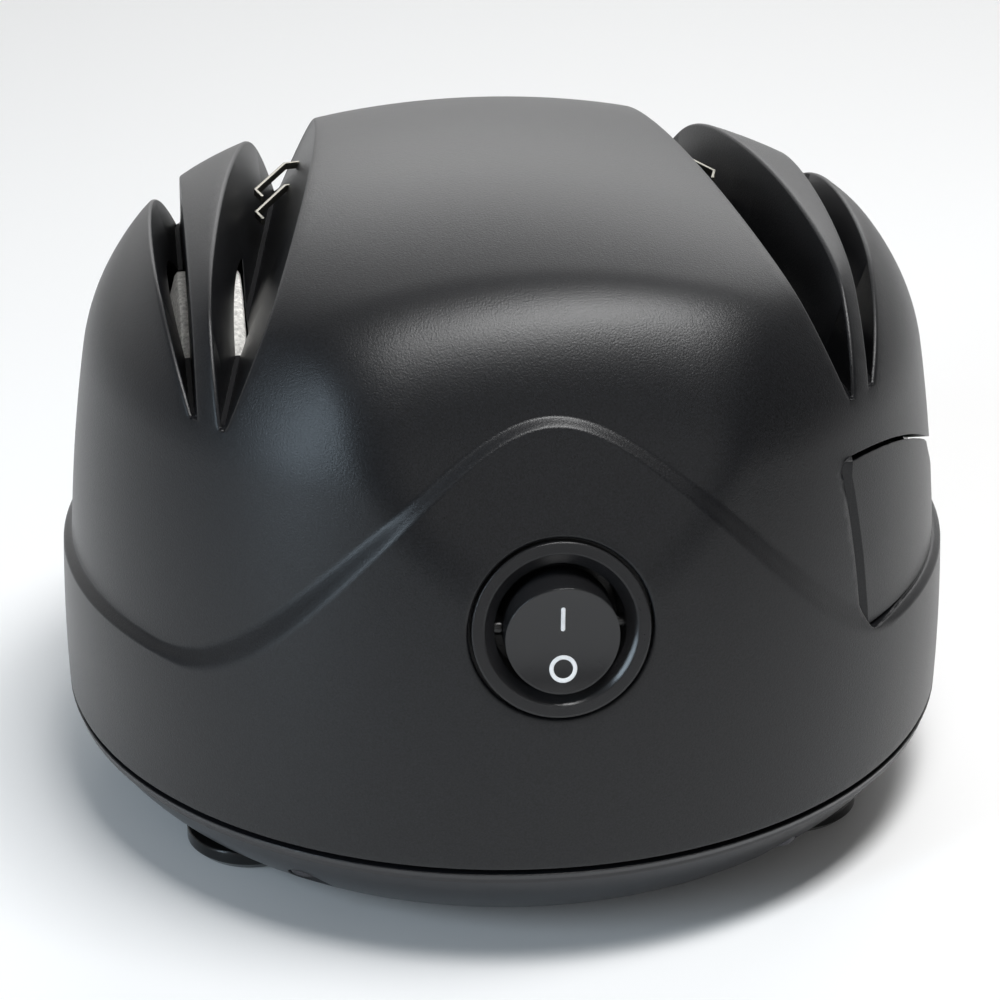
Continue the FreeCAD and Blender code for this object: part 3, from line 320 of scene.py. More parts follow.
def slot_edge(slot, wall, grow, count):
    """Where one wall meets the skin, from front to back, as (turn, tilt): the place is found again
    and again from the last height until it settles."""
    y = np.linspace(-56.0, 56.0, 337)
    z = np.full_like(y, 84.0)
    for _ in range(18):
        x = slot_wall_x(slot, wall, y, z, grow)
        turn, tilt = tilt_over(x, y)
        z = 0.5 * z + 0.5 * skin(turn, tilt)[..., 2]
    floor = SLOT_FLOOR - grow
    inside = np.flatnonzero(z > floor)
    first, last = inside[0], inside[-1]
    front = np.interp(floor, [z[first - 1], z[first]], [y[first - 1], y[first]])
    back = np.interp(floor, [z[last + 1], z[last]], [y[last + 1], y[last]])
    y_run = np.concatenate([[front], y[inside], [back]])
    x_run = np.interp(y_run, y, slot_wall_x(slot, wall, y, z, grow))
    line = resample(np.stack([x_run, y_run, np.interp(y_run, y, z)], axis=-1), count)
    return tilt_over(line[:, 0], line[:, 1])


def slot_loop(slot, grow, count=150, cap=4):
    """Closed outline of a left-hand slot on the skin, grown by a distance: block wall from front to
    back, short floor end, fin wall back to the front, short floor end."""
    block = np.stack(slot_edge(slot, "block", grow, count), axis=-1)
    fin = np.stack(slot_edge(slot, "fin", grow, count), axis=-1)[::-1]
    pieces = [block]
    for start, end in ((block[-1], fin[0]), (fin[-1], block[0])):
        share = np.linspace(0.0, 1.0, cap + 2)[1:-1]
        gap = (end[0] - start[0] + math.pi) % (2.0 * math.pi) - math.pi
        turn = start[0] + share * gap
        pieces.append(np.stack([turn, tilt_at_height(turn, SLOT_FLOOR - grow)], axis=-1))
    return np.vstack([pieces[0], pieces[1], fin, pieces[2]])


for name, slot in SLOTS.items():
    loop = slot_loop(slot, 0.0)
    ends = skin(loop[:, 0], loop[:, 1])
    print(name, "slot runs from y %.1f to %.1f mm" % (ends[:, 1].min(), ends[:, 1].max()))

# %% [markdown]
# ## The switch pocket and the drawer opening
# The switch sits square to a line that tilts up by 13 degrees, in a round pocket that the curved
# wall dips around. The drawer opening is an outline drawn from the side: level below, upright at its
# ends, and with a cosine dip in its top edge that leaves room for a finger.

# %% Pocket and opening
SWITCH_HEIGHT = 49.5
SWITCH_TILT = math.radians(13.0)
SWITCH_INSET = 0.9
POCKET_RADIUS = 12.0
POCKET_DEPTH = 2.05
DRAWER_HALF = 44.7
DRAWER_BOTTOM = 38.2
DRAWER_END = 62.4
DRAWER_DIP = 48.0
DRAWER_GAP = 0.35
RECESS_SIDE = 41.0
DRAWER_ROUND = 0.3

SWITCH_FACE = np.array([0.0, -(wall_at(SWITCH_HEIGHT) - SWITCH_INSET), SWITCH_HEIGHT])
SWITCH_OUT = np.array([0.0, -math.cos(SWITCH_TILT), math.sin(SWITCH_TILT)])
SWITCH_UP = np.array([0.0, math.sin(SWITCH_TILT), math.cos(SWITCH_TILT)])
SIDEWAYS = np.array([1.0, 0.0, 0.0])


def charted(points):
    """Turn and tilt of the rays from the body's centre through points."""
    away = points - np.array([0.0, 0.0, CENTRE_HEIGHT])
    return (np.arctan2(away[..., 0], -away[..., 1]),
            np.arctan2(away[..., 2], np.hypot(away[..., 0], away[..., 1])))


def outside(points):
    """How far points lie beyond the skin, measured along rays from the centre."""
    turn, tilt = charted(points)
    centre = np.array([0.0, 0.0, CENTRE_HEIGHT])
    return np.linalg.norm(points - centre, axis=-1) - np.linalg.norm(skin(turn, tilt) - centre, axis=-1)


def cast(starts, direction, reach):
    """Where lines that leave starts, inside the body, along a direction meet the skin."""
    zeros = np.zeros(len(starts))
    far = bisect(zeros, zeros + reach, lambda run: outside(starts + run[:, None] * direction) < 0.0)
    return starts + far[:, None] * direction


def pocket_loop(grow, count=120):
    """Outline of the switch pocket on the skin: a tilted circle pushed out along the switch's line."""
    angle = np.linspace(0.0, 2.0 * math.pi, count, endpoint=False)
    ring = np.cos(angle)[:, None] * SIDEWAYS + np.sin(angle)[:, None] * SWITCH_UP
    starts = SWITCH_FACE - 14.0 * SWITCH_OUT + (POCKET_RADIUS + grow) * ring
    return np.stack(charted(cast(starts, SWITCH_OUT, 30.0)), axis=-1)


def pocket_distance(points):
    """Distance of points from the pocket's round wall."""
    away = points - SWITCH_FACE
    along = away @ SWITCH_OUT
    radius = np.linalg.norm(away - along[..., None] * SWITCH_OUT, axis=-1) - POCKET_RADIUS
    return np.where(along < -30.0, 1e3, radius)


def dipped(y, end, dip):
    """Height of a drawer edge: dip in the middle, rising by a cosine to its two ends."""
    share = 0.5 * (1.0 - np.cos(math.pi * np.clip(np.abs(y) / DRAWER_HALF, 0.0, 1.0)))
    return dip + (end - dip) * share


def drawer_outline(grow, count=340):
    """Closed (y, z) outline of the drawer, grown all round, with small round corners."""
    y = np.linspace(-DRAWER_HALF, DRAWER_HALF, 121)
    top = np.stack([y, dipped(y, DRAWER_END, DRAWER_DIP)], axis=-1)
    corners = np.array([[DRAWER_HALF, DRAWER_BOTTOM], [-DRAWER_HALF, DRAWER_BOTTOM]])
    line = resample(np.vstack([top, corners]), 900, closed=True)
    for _ in range(6):
        line = (np.roll(line, 1, axis=0) + line + np.roll(line, -1, axis=0)) / 3.0
    ahead = np.roll(line, -3, axis=0) - np.roll(line, 3, axis=0)
    outward = np.stack([-ahead[:, 1], ahead[:, 0]], axis=-1)
    outward /= np.linalg.norm(outward, axis=-1, keepdims=True)
    return resample(line + grow * outward, count, closed=True)


def drawer_loop(grow):
    """The drawer's outline pushed out to the skin along +X."""
    line = drawer_outline(grow)
    starts = np.stack([np.full(len(line), 20.0), line[:, 0], line[:, 1]], axis=-1)
    return np.stack(charted(cast(starts, SIDEWAYS, 60.0)), axis=-1)


def outline_distance(flat, line):
    """Signed distance of (y, z) points from a closed outline, negative inside."""
    best = np.full(len(flat), 1e6)
    inside = np.zeros(len(flat), bool)
    for start, end in zip(line, np.roll(line, -1, axis=0)):
        edge = end - start
        share = np.clip(((flat - start) @ edge) / (edge @ edge), 0.0, 1.0)
        best = np.minimum(best, np.linalg.norm(flat - start - share[:, None] * edge, axis=1))
        crosses = (start[1] > flat[:, 1]) != (end[1] > flat[:, 1])
        reach = start[0] + (flat[:, 1] - start[1]) * edge[0] / np.where(edge[1] == 0.0, 1e-12, edge[1])
        inside ^= crosses & (flat[:, 0] < reach)
    return np.where(inside, -best, best)


OPENING = drawer_outline(DRAWER_GAP)


def drawer_distance(points):
    """Distance of points on the right-hand wall from the drawer opening."""
    distance = np.full(len(points), 1e3)
    near = (points[:, 0] > 30.0) & (points[:, 2] > 30.0) & (points[:, 2] < 70.0)
    distance[near] = outline_distance(points[near][:, 1:3], OPENING)
    return distance


print("switch face at", np.round(SWITCH_FACE, 2).tolist())

# %% [markdown]
# ## The moulding's mesh
# Loops at a few distances from each opening carry the rounding of its edge; the skin sinks along a
# quarter circle there. The openings then get their walls, and the wall below the slots is closed, so
# that the finished piece is one watertight solid.

# %% Upper housing
POINT_SPACING = 1.45
ROUND_STEPS = (0.0, 0.08, 0.3, 0.62, 1.0)
STEP_LINES = (-0.15, 0.0, 0.2, 0.5, 0.8, 1.0, 1.15)
LINE_CLEARANCE = 0.75


def rounding(distance, radius):
    """Depth of the skin near an edge: radius - sqrt(radius^2 - (radius - distance)^2)."""
    left = np.clip(radius - distance, 0.0, radius)
    return radius - np.sqrt(np.maximum(radius**2 - left**2, 0.0))


def mirrored(loop):
    """A left-hand loop moved to the right, still running the same way round its opening."""
    return np.stack([-loop[:, 0], loop[:, 1]], axis=-1)[::-1]


def slot_distances(points):
    """Distance of points from the nearest of the four slots."""
    flipped = points * np.array([-1.0, 1.0, 1.0])
    nearest = np.full(len(points), 1e3)
    for slot in SLOTS.values():
        nearest = np.minimum(nearest, np.minimum(slot_distance(slot, points), slot_distance(slot, flipped)))
    return np.where(points[:, 2] > 50.0, nearest, 1e3)


def sunk_skin(turn, tilt):
    """The skin with its rounded edges round slots, pocket, drawer opening and bottom edge."""
    points = skin(turn, tilt)
    depth = rounding(slot_distances(points), EDGE_ROUND)
    depth = np.maximum(depth, rounding(pocket_distance(points), EDGE_ROUND))
    depth = np.maximum(depth, rounding(drawer_distance(points), DRAWER_ROUND))
    depth = np.maximum(depth, rounding(points[:, 2] - SPLIT_HIGH, EDGE_ROUND))
    return points - depth[:, None] * skin_normal(turn, tilt)


def inside_loop(flat, loop):
    """Whether chart points lie inside a closed chart loop."""
    inside = np.zeros(len(flat), bool)
    box = (flat >= loop.min(axis=0)).all(axis=1) & (flat <= loop.max(axis=0)).all(axis=1)
    picked = flat[box]
    held = np.zeros(len(picked), bool)
    for start, end in zip(loop, np.roll(loop, -1, axis=0)):
        crosses = (start[1] > picked[:, 1]) != (end[1] > picked[:, 1])
        rise = end[1] - start[1]
        reach = start[0] + (picked[:, 1] - start[1]) * (end[0] - start[0]) / (rise if rise else 1e-12)
        held ^= crosses & (picked[:, 0] < reach)
    inside[box] = held
    return inside


def housing_loops():
    """Every opening as {name: (loops from its edge outwards)}."""
    loops = {}
    for name, slot in SLOTS.items():
        rings = [slot_loop(slot, step * EDGE_ROUND) for step in ROUND_STEPS]
        loops[name + "_left"] = rings
        loops[name + "_right"] = [mirrored(ring) for ring in rings]
    loops["pocket"] = [pocket_loop(step * EDGE_ROUND) for step in ROUND_STEPS]
    loops["drawer"] = [drawer_loop(DRAWER_GAP + step * DRAWER_ROUND) for step in ROUND_STEPS]
    return loops


def boundary_loops(faces):
    """Ordered vertex loops along the edges that only one triangle uses, holes and rim alike."""
    faces = np.asarray(faces)
    edges = np.vstack([faces[:, [0, 1]], faces[:, [1, 2]], faces[:, [2, 0]]])
    used = set(map(tuple, edges.tolist()))
    following = {start: end for start, end in used if (end, start) not in used}
    loops = []
    while following:
        start, point = following.popitem()
        loop = [start]
        while point != start:
            loop.append(point)
            point = following.pop(point)
        loops.append(loop)
    return loops


def new_piece(name, points, faces, sharp=40.0):
    """A closed mesh piece from millimetre points, smooth except where its faces meet sharply."""
    mesh = bpy.data.meshes.new(name)
    mesh.from_pydata((np.asarray(points) * MM).tolist(), [], [list(face) for face in faces])
    build = bmesh.new()
    build.from_mesh(mesh)
    bmesh.ops.recalc_face_normals(build, faces=build.faces)
    build.to_mesh(mesh)
    build.free()
    piece = bpy.data.objects.new(name, mesh)
    bpy.context.scene.collection.objects.link(piece)
    shade(piece, sharp)
    return piece


def shade(piece, sharp=40.0):
    """Smooth shading, with a hard edge wherever two faces turn by more than the given degrees."""
    mesh = piece.data
    mesh.shade_smooth()
    mesh.set_sharp_from_angle(angle=math.radians(sharp))


def hex_field(radius, spacing):
    """Points of a triangular lattice inside a circle."""
    rows = np.arange(-radius, radius, spacing * math.sqrt(0.75))
    field = []
    for i, y in enumerate(rows):
        x = np.arange(-radius, radius, spacing) + (i % 2) * 0.5 * spacing
        field.append(np.stack([x, np.full_like(x, y)], axis=-1))
    field = np.vstack(field)
    return field[np.hypot(field[:, 0], field[:, 1]) < radius - 0.5 * spacing]


def wall_line(share, count=420):
    """A line round the body at one share of the step's slope, as chart points."""
    turn = np.linspace(-math.pi, math.pi, count, endpoint=False)
    height = lip_height(turn) + share * (band_height(turn) - lip_height(turn))
    return to_disc(turn, tilt_at_height(turn, height))


def level_line(height, count=360):
    """A line round the body at one height, as chart points."""
    turn = np.linspace(-math.pi, math.pi, count, endpoint=False)
    return to_disc(turn, tilt_at_height(turn, np.full(count, height)))


def crowded(points, lines, gap):
    """Which points lie within a gap of the lines' own points, by hashing both into square cells."""
    cells = {}
    for point in lines:
        cells.setdefault((int(point[0] // gap), int(point[1] // gap)), []).append(point)
    close = np.zeros(len(points), bool)
    for i, point in enumerate(points):
        column, row = int(point[0] // gap), int(point[1] // gap)
        for near in ((column + a, row + b) for a in (-1, 0, 1) for b in (-1, 0, 1)):
            others = cells.get(near, ())
            if any((point[0] - other[0]) ** 2 + (point[1] - other[1]) ** 2 < gap * gap for other in others):
                close[i] = True
                break
    return close


def housing_skin(openings):
    """Triangles of the skin between the openings: (points, faces)."""
    rings = [to_disc(ring[:, 0], ring[:, 1]) for group in openings.values() for ring in group]
    rings += [wall_line(share) for share in STEP_LINES]
    rings += [level_line(SPLIT_HIGH + step * EDGE_ROUND) for step in ROUND_STEPS]
    lines = np.vstack(rings)
    field = hex_field(DISC_RADIUS, POINT_SPACING)
    field = field[~crowded(field, lines, LINE_CLEARANCE)]
    edges = []
    start = 0
    for ring in rings:
        edges += [(start + i, start + (i + 1) % len(ring)) for i in range(len(ring))]
        start += len(ring)
    flat = [Vector(point) for point in np.vstack([lines, field]).tolist()]
    chart, _, faces, *_ = delaunay_2d_cdt(flat, edges, [], 0, 1e-4)
    chart = np.array([tuple(point) for point in chart])
    faces = np.array(faces)
    middles = chart[faces].mean(axis=1)
    keep = np.ones(len(faces), bool)
    for group in openings.values():
        keep &= ~inside_loop(middles, to_disc(group[0][:, 0], group[0][:, 1]))
    keep &= inside_loop(middles, level_line(SPLIT_HIGH))
    faces = faces[keep]
    used, faces = np.unique(faces, return_inverse=True)
    turn, tilt = from_disc(chart[used])
    return sunk_skin(turn, tilt), faces.reshape(-1, 3)


def fill(points, loop):
    """Triangles across a loop, worked out on the plane that it fits best."""
    ring = points[loop]
    middle = ring - ring.mean(axis=0)
    _, _, axes = np.linalg.svd(middle, full_matrices=False)
    flat = [Vector(point) for point in (middle @ axes[:2].T).tolist()]
    edges = [(i, (i + 1) % len(loop)) for i in range(len(loop))]
    _, _, faces, *_ = delaunay_2d_cdt(flat, edges, [], 1, 1e-7)
    return [[loop[orig_at] for orig_at in face] for face in faces if max(face) < len(loop)]


def slot_foot(points):
    """Foot of a slot's walls, on its narrow floor: both sides run evenly from the front-most rim point
    to the rear-most one."""
    side = np.sign(points[:, 0]).mean()
    flipped = points * np.array([-side, 1.0, 1.0])
    slot = min(SLOTS.values(), key=lambda slot: np.abs(slot_distance(slot, flipped)).mean())
    foot = flipped.copy()
    front, rear = int(np.argmin(points[:, 1])), int(np.argmax(points[:, 1]))
    for start, end in ((front, rear), (rear, front)):
        chain = [(start + i) % len(points) for i in range((end - start) % len(points) + 1)]
        run = np.concatenate([[0.0], np.cumsum(np.linalg.norm(np.diff(points[chain], axis=0), axis=1))])
        y = np.interp(run, [0.0, run[-1]], points[[start, end], 1])
        middle = flipped[chain[len(chain) // 2]]
        sign = np.sign(middle[0] - slot_floor_x(slot, middle[1]))
        foot[chain, 1] = y
        foot[chain, 0] = slot_floor_x(slot, y) + sign * SLOT_HALF_FLOOR
        foot[chain[0], 0] = slot_floor_x(slot, y[0])
    foot[:, 0] *= -side
    foot[:, 2] = np.minimum(SLOT_FLOOR, points[:, 2] - 0.1)
    return foot


def pocket_foot(points):
    """Foot of the switch pocket's wall, on a flat floor behind the switch's flange."""
    away = points - SWITCH_FACE
    away = away - (away @ SWITCH_OUT)[:, None] * SWITCH_OUT
    radial = away / np.linalg.norm(away, axis=1, keepdims=True)
    return SWITCH_FACE + POCKET_RADIUS * radial - POCKET_DEPTH * SWITCH_OUT


def drawer_foot(points):
    """Inner edge of the drawer opening's walls."""
    foot = points.copy()
    foot[:, 0] = RECESS_SIDE
    return foot


def housing_mesh():
    """Closed mesh of the moulding before its inside is cut out."""
    points, faces = housing_skin(housing_loops())
    faces = faces.tolist()
    everything = [points]
    count = len(points)
    for loop in boundary_loops(faces):
        rim = points[loop]
        middle = rim.mean(axis=0)
        if rim[:, 2].max() < SPLIT_HIGH + 1.0:
            faces += fill(points, loop)
            continue
        if middle[2] > 68.0:
            foot = slot_foot(rim)
        elif middle[0] > 30.0:
            foot = drawer_foot(rim)
        else:
            foot = pocket_foot(rim)
        low = list(range(count, count + len(loop)))
        for i in range(len(loop)):
            j = (i + 1) % len(loop)
            faces.append([loop[j], loop[i], low[i]])
            faces.append([loop[j], low[i], low[j]])
        everything.append(foot)
        count += len(loop)
        faces += fill(np.vstack(everything), low)
    return np.vstack(everything), faces


def turned_mesh(name, outline, segments=160):
    """A closed solid of revolution about Z from (radius, height) points, bottom to top on the axis."""
    outline = np.array(outline)
    angle = np.linspace(0.0, 2.0 * math.pi, segments, endpoint=False)
    rings = [np.stack([r * np.cos(angle), r * np.sin(angle), np.full(segments, z)], axis=-1)
             for r, z in outline]
    points = np.vstack(rings)
    faces = []
    for row in range(len(outline) - 1):
        for i in range(segments):
            j = (i + 1) % segments
            low, high = row * segments, (row + 1) * segments
            faces.append([low + i, low + j, high + j, high + i])
    faces.append(list(range(segments))[::-1])
    faces.append([(len(outline) - 1) * segments + i for i in range(segments)])
    return new_piece(name, points, faces)


def rod(name, radius, length, base, direction, segments=96):
    """A closed cylinder from a base point along a direction."""
    piece = turned_mesh(name, [(radius, 0.0), (radius, length)], segments)
    turn = Vector((0.0, 0.0, 1.0)).rotation_difference(Vector(direction)).to_matrix().to_4x4()
    turn.translation = Vector(base) * MM
    piece.data.transform(turn)
    return piece


def cut(piece, tools):
    """Takes tools away from a piece and deletes them."""
    for tool in tools:
        change = piece.modifiers.new("cut", "BOOLEAN")
        change.operation = "DIFFERENCE"
        change.solver = "MANIFOLD"
        change.object = tool
        depsgraph = bpy.context.evaluated_depsgraph_get()
        mesh = bpy.data.meshes.new_from_object(piece.evaluated_get(depsgraph))
        piece.modifiers.clear()
        piece.data = mesh
        bpy.data.objects.remove(tool)


HOUSING_WALL = 3.6
CAVITY_WALL = 2.4
CAVITY_TOP = 69.3
WHEEL_SIDE = 43.4
AXLE_HEIGHT = 51.0
WHEEL_ROOM_RADIUS = 25.6
WHEEL_ROOM_WIDTH = 14.2
GROMMET_HEIGHT = 27.0
GROMMET_RADIUS = 6.65
GROMMET_HOLE_START = 58.0
GROMMET_HOLE_LENGTH = 12.0
SWITCH_HOLE_RADIUS = 10.15
SWITCH_HOLE_LENGTH = 20.0
SWITCH_HOLE_DEPTH = 16.0
CAVITY_BOTTOM = 8.0
CAVITY_LEVELS = (SPLIT_HIGH, 25.0, 35.0, 44.0, 50.0, 56.0, 62.0, CAVITY_TOP)
BACKWARDS = np.array([0.0, 1.0, 0.0])

housing = new_piece("upper_housing_moulding", *housing_mesh())
print("moulding before cuts:", len(housing.data.polygons), "triangles")
all_turns = np.linspace(-math.pi, math.pi, 73)
cavity_line = [(wall_at(SPLIT_HIGH) - HOUSING_WALL, CAVITY_BOTTOM)]
for height in CAVITY_LEVELS:
    here = skin(all_turns, tilt_at_height(all_turns, np.full(73, height)))
    cavity_line.append((np.hypot(here[:, 0], here[:, 1]).min() - CAVITY_WALL, height))
cavity_line[1] = (cavity_line[0][0], SPLIT_HIGH)
hollows = [turned_mesh("cavity", cavity_line)]
for side in (-1, 1):
    start = np.array([side * WHEEL_SIDE - WHEEL_ROOM_WIDTH / 2, 0.0, AXLE_HEIGHT])
    hollows.append(rod("wheel_room", WHEEL_ROOM_RADIUS, WHEEL_ROOM_WIDTH, start, SIDEWAYS))
start = SWITCH_FACE - SWITCH_HOLE_DEPTH * SWITCH_OUT
hollows.append(rod("switch_hole", SWITCH_HOLE_RADIUS, SWITCH_HOLE_LENGTH, start, SWITCH_OUT))
start = np.array([0.0, GROMMET_HOLE_START, GROMMET_HEIGHT])
hollows.append(rod("cord_hole", GROMMET_RADIUS, GROMMET_HOLE_LENGTH, start, BACKWARDS))
cut(housing, hollows)
shade(housing)
print("moulding:", len(housing.data.polygons), "faces")

# %% [markdown]
# ## Finishes
# Every finish is worked out from the piece's own coordinates. The moulding is near-black satin
# plastic with a fine grain, so that the soft lights spread over it. The slots' narrow floors get a
# darker, less glossy finish than the rest as painted shade, since little light gets down to them.

# %% Materials
FLOOR_REACH = 0.3
FACING_UP = 0.8


def shared_grain():
    """Node group: a grain's height from fine noise, at a scale given in grains per metre."""
    group = bpy.data.node_groups.new("grain", "ShaderNodeTree")
    group.interface.new_socket("Scale", in_out="INPUT", socket_type="NodeSocketFloat")
    group.interface.new_socket("Strength", in_out="INPUT", socket_type="NodeSocketFloat")
    group.interface.new_socket("Rounding", in_out="INPUT", socket_type="NodeSocketFloat")
    group.interface.new_socket("Normal", in_out="OUTPUT", socket_type="NodeSocketVector")
    group.interface.new_socket("Speck", in_out="OUTPUT", socket_type="NodeSocketFloat")
    nodes, links = group.nodes, group.links
    ends = nodes.new("NodeGroupInput"), nodes.new("NodeGroupOutput")
    place = nodes.new("ShaderNodeTexCoord")
    noise = nodes.new("ShaderNodeTexNoise")
    noise.inputs["Detail"].default_value = 3.0
    noise.inputs["Roughness"].default_value = 0.6
    bevel = nodes.new("ShaderNodeBevel")
    bevel.samples = 6
    bump = nodes.new("ShaderNodeBump")
    bump.inputs["Distance"].default_value = 0.0001
    links.new(place.outputs["Object"], noise.inputs["Vector"])
    links.new(ends[0].outputs["Scale"], noise.inputs["Scale"])
    links.new(ends[0].outputs["Rounding"], bevel.inputs["Radius"])
    links.new(ends[0].outputs["Strength"], bump.inputs["Strength"])
    links.new(noise.outputs["Fac"], bump.inputs["Height"])
    links.new(bevel.outputs["Normal"], bump.inputs["Normal"])
    links.new(bump.outputs["Normal"], ends[1].inputs["Normal"])
    links.new(noise.outputs["Fac"], ends[1].inputs["Speck"])
    return group


GRAIN = shared_grain()


def finish(name, colour, roughness, metallic=0.0, scale=2500.0, strength=0.1, rounding=0.0002,
           contrast=0.15, coat=0.0, specular=0.5):
    """A Principled finish whose grain moves both its normal and, a little, its colour."""
    material = bpy.data.materials.new(name)
    material.use_nodes = True
    material.diffuse_color = (*colour, 1.0)
    nodes, links = material.node_tree.nodes, material.node_tree.links
    shader = nodes["Principled BSDF"]
    grain = nodes.new("ShaderNodeGroup")
    grain.node_tree = GRAIN
    grain.inputs["Scale"].default_value = scale
    grain.inputs["Strength"].default_value = strength
    grain.inputs["Rounding"].default_value = rounding
    ramp = nodes.new("ShaderNodeValToRGB")
    ramp.color_ramp.elements[0].position = 0.3
    ramp.color_ramp.elements[1].position = 0.7
    ramp.color_ramp.elements[0].color = (*[c * (1.0 - contrast) for c in colour], 1.0)
    ramp.color_ramp.elements[1].color = (*[min(1.0, c * (1.0 + contrast)) for c in colour], 1.0)
    links.new(grain.outputs["Speck"], ramp.inputs["Fac"])
    links.new(ramp.outputs["Color"], shader.inputs["Base Color"])
    links.new(grain.outputs["Normal"], shader.inputs["Normal"])
    shader.inputs["Roughness"].default_value = roughness
    shader.inputs["Metallic"].default_value = metallic
    shader.inputs["Coat Weight"].default_value = coat
    shader.inputs["Specular IOR Level"].default_value = specular
    return material


FINISHES = {
    "shell_plastic": finish("shell_plastic", (0.0060, 0.0063, 0.0075), 0.34, scale=3800.0, strength=0.35,
                            contrast=0.6, specular=0.36),
    "base_plastic": finish("base_plastic", (0.012, 0.012, 0.014), 0.3, rounding=0.0004),
    "switch_plastic": finish("switch_plastic", (0.012, 0.012, 0.013), 0.24, strength=0.05, rounding=0.0004),
    "foot_rubber": finish("foot_rubber", (0.006, 0.006, 0.006), 0.18, strength=0.05, rounding=0.0006),
    "grey_rubber": finish("grey_rubber", (0.02, 0.02, 0.02), 0.6),
    "coarse_stone": finish("coarse_stone", (0.74, 0.73, 0.70), 0.9, scale=1600.0, strength=1.0,
                           contrast=0.35),
    "fine_stone": finish("fine_stone", (0.80, 0.79, 0.76), 0.85, scale=3000.0, strength=0.6, contrast=0.2),
    "spring_steel": finish("spring_steel", (0.30, 0.29, 0.25), 0.35, metallic=1.0, strength=0.02),
    "zinc_steel": finish("zinc_steel", (0.6, 0.61, 0.63), 0.35, metallic=1.0, strength=0.05),
    "dark_screws": finish("dark_screws", (0.05, 0.05, 0.055), 0.4, metallic=0.8),
    "laminated_steel": finish("laminated_steel", (0.3, 0.3, 0.31), 0.45, metallic=1.0),
    "cast_aluminium": finish("cast_aluminium", (0.62, 0.62, 0.64), 0.45, metallic=1.0, scale=1500.0,
                             strength=0.3),
    "copper": finish("copper", (0.6, 0.24, 0.08), 0.3, metallic=0.9),
    "bronze": finish("bronze", (0.5, 0.34, 0.15), 0.4, metallic=1.0),
    "white_nylon": finish("white_nylon", (0.7, 0.69, 0.64), 0.5),
    "ferrite": finish("ferrite", (0.05, 0.05, 0.055), 0.6),
    "tin_plate": finish("tin_plate", (0.68, 0.67, 0.64), 0.3, metallic=1.0),
}
WHITE_INK = finish("white_ink", (0.82, 0.83, 0.84), 0.5, strength=0.03, contrast=0.04)

slots = {row["node"]: row["material_slot"] for row in frame["record"]["subparts"]}
for name, node in frame["nodes"].items():
    node.data.materials.clear()
    node.data.materials.append(FINISHES[slots[name]])
    shade(node, 30.0)

housing.data.materials.clear()
housing.data.materials.append(FINISHES["shell_plastic"])
# Painted shade: the slots' upward-facing floors get a darker, less glossy finish that stands for the shade
# down in them.
housing.data.materials.append(finish("slot_floor", (0.004, 0.004, 0.005), 0.7, specular=0.1))
for polygon in housing.data.polygons:
    if abs(polygon.center.z / MM - SLOT_FLOOR) < FLOOR_REACH and polygon.normal.z > FACING_UP:
        polygon.material_index = 1
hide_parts("upper_housing")
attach(housing, "case")

# %% [markdown]
# ## Drawer and wheels
# The drawer keeps its real tray and scoop; its panel is drawn in to lie flush with the wall above the
# wavy step. The wheels get a full inner edge with a slightly wider rim, which shows through the
# inner slots.

# %% Drawer and wheels
WHEEL_RADIUS = 24.0
WHEEL_HALF = 5.5
WHEEL_FLAT = 13.0
WHEEL_BORE = 6.0
RIM_HALF = 6.6
RIM_FOOT = 18.0


def dress(piece, node, material, body):
    """Puts a finish on a piece that stands for a node, and lets it ride on the node's body."""
    piece.data.materials.clear()
    piece.data.materials.append(FINISHES[material])
    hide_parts(node)
    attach(piece, body)


def flush_drawer():
    """The drawer with the outside of its panel moved in by the step's depth."""
    source = frame["nodes"]["filings_drawer"]
    mesh = source.data.copy()
    points = np.array([vertex.co[:] for vertex in mesh.vertices]) / MM
    radius = np.hypot(points[:, 0], points[:, 1])
    limit = wall_at(points[:, 2]) - STEP_DEPTH
    scale = np.minimum(radius, limit) / radius
    points[:, :2] *= scale[:, None]
    mesh.vertices.foreach_set("co", (points * MM).ravel())
    mesh.update()
    piece = bpy.data.objects.new("drawer_panel_and_tray", mesh)
    bpy.context.scene.collection.objects.link(piece)
    shade(piece, 30.0)
    dress(piece, "filings_drawer", "shell_plastic", "drawer")


def full_wheel(label, side, material):
    """A grinding wheel with a rounded rim: plain towards the middle of the body, bevelled outside."""
    outline = [(WHEEL_BORE, -WHEEL_HALF), (WHEEL_FLAT, -WHEEL_HALF), (WHEEL_RADIUS - 0.6, -2.6),
               (WHEEL_RADIUS - 0.1, -2.2), (WHEEL_RADIUS, -1.6), (WHEEL_RADIUS, RIM_HALF - 0.6),
               (WHEEL_RADIUS - 0.2, RIM_HALF - 0.2), (WHEEL_RADIUS - 0.6, RIM_HALF), (RIM_FOOT, RIM_HALF),
               (RIM_FOOT - 1.0, WHEEL_HALF), (WHEEL_BORE, WHEEL_HALF)]
    count = 144
    angle = np.linspace(0.0, 2.0 * math.pi, count, endpoint=False)
    rows = []
    for radius, along in outline:
        x = side * (WHEEL_SIDE - along) * np.ones(count)
        rows.append(np.stack([x, radius * np.cos(angle), AXLE_HEIGHT + radius * np.sin(angle)], axis=-1))
    faces = []
    for row in range(len(outline)):
        following = (row + 1) % len(outline)
        for i in range(count):
            j = (i + 1) % count
            faces.append([row * count + i, row * count + j, following * count + j, following * count + i])
    piece = new_piece("wheel_grit_" + label, np.vstack(rows), faces, 30.0)
    dress(piece, "grinding_wheel_" + label, material, "spindle")


flush_drawer()
full_wheel("left", -1, "coarse_stone")
full_wheel("right", 1, "fine_stone")

# %% [markdown]
# ## The two marks on the rocker
# A bar and a ring in white ink follow the rocker's hollow face. They ride on the rocker, so they tip
# with it.

# %% Marks
PIN_DEPTH = 3.6
ROCKER_REST = math.radians(87.0)
DISH_RADIUS = 26.0
DISH_CENTRE = 30.6
STROKE = 0.56
INK = 0.03
rocker_pivot = SWITCH_FACE - PIN_DEPTH * SWITCH_OUT


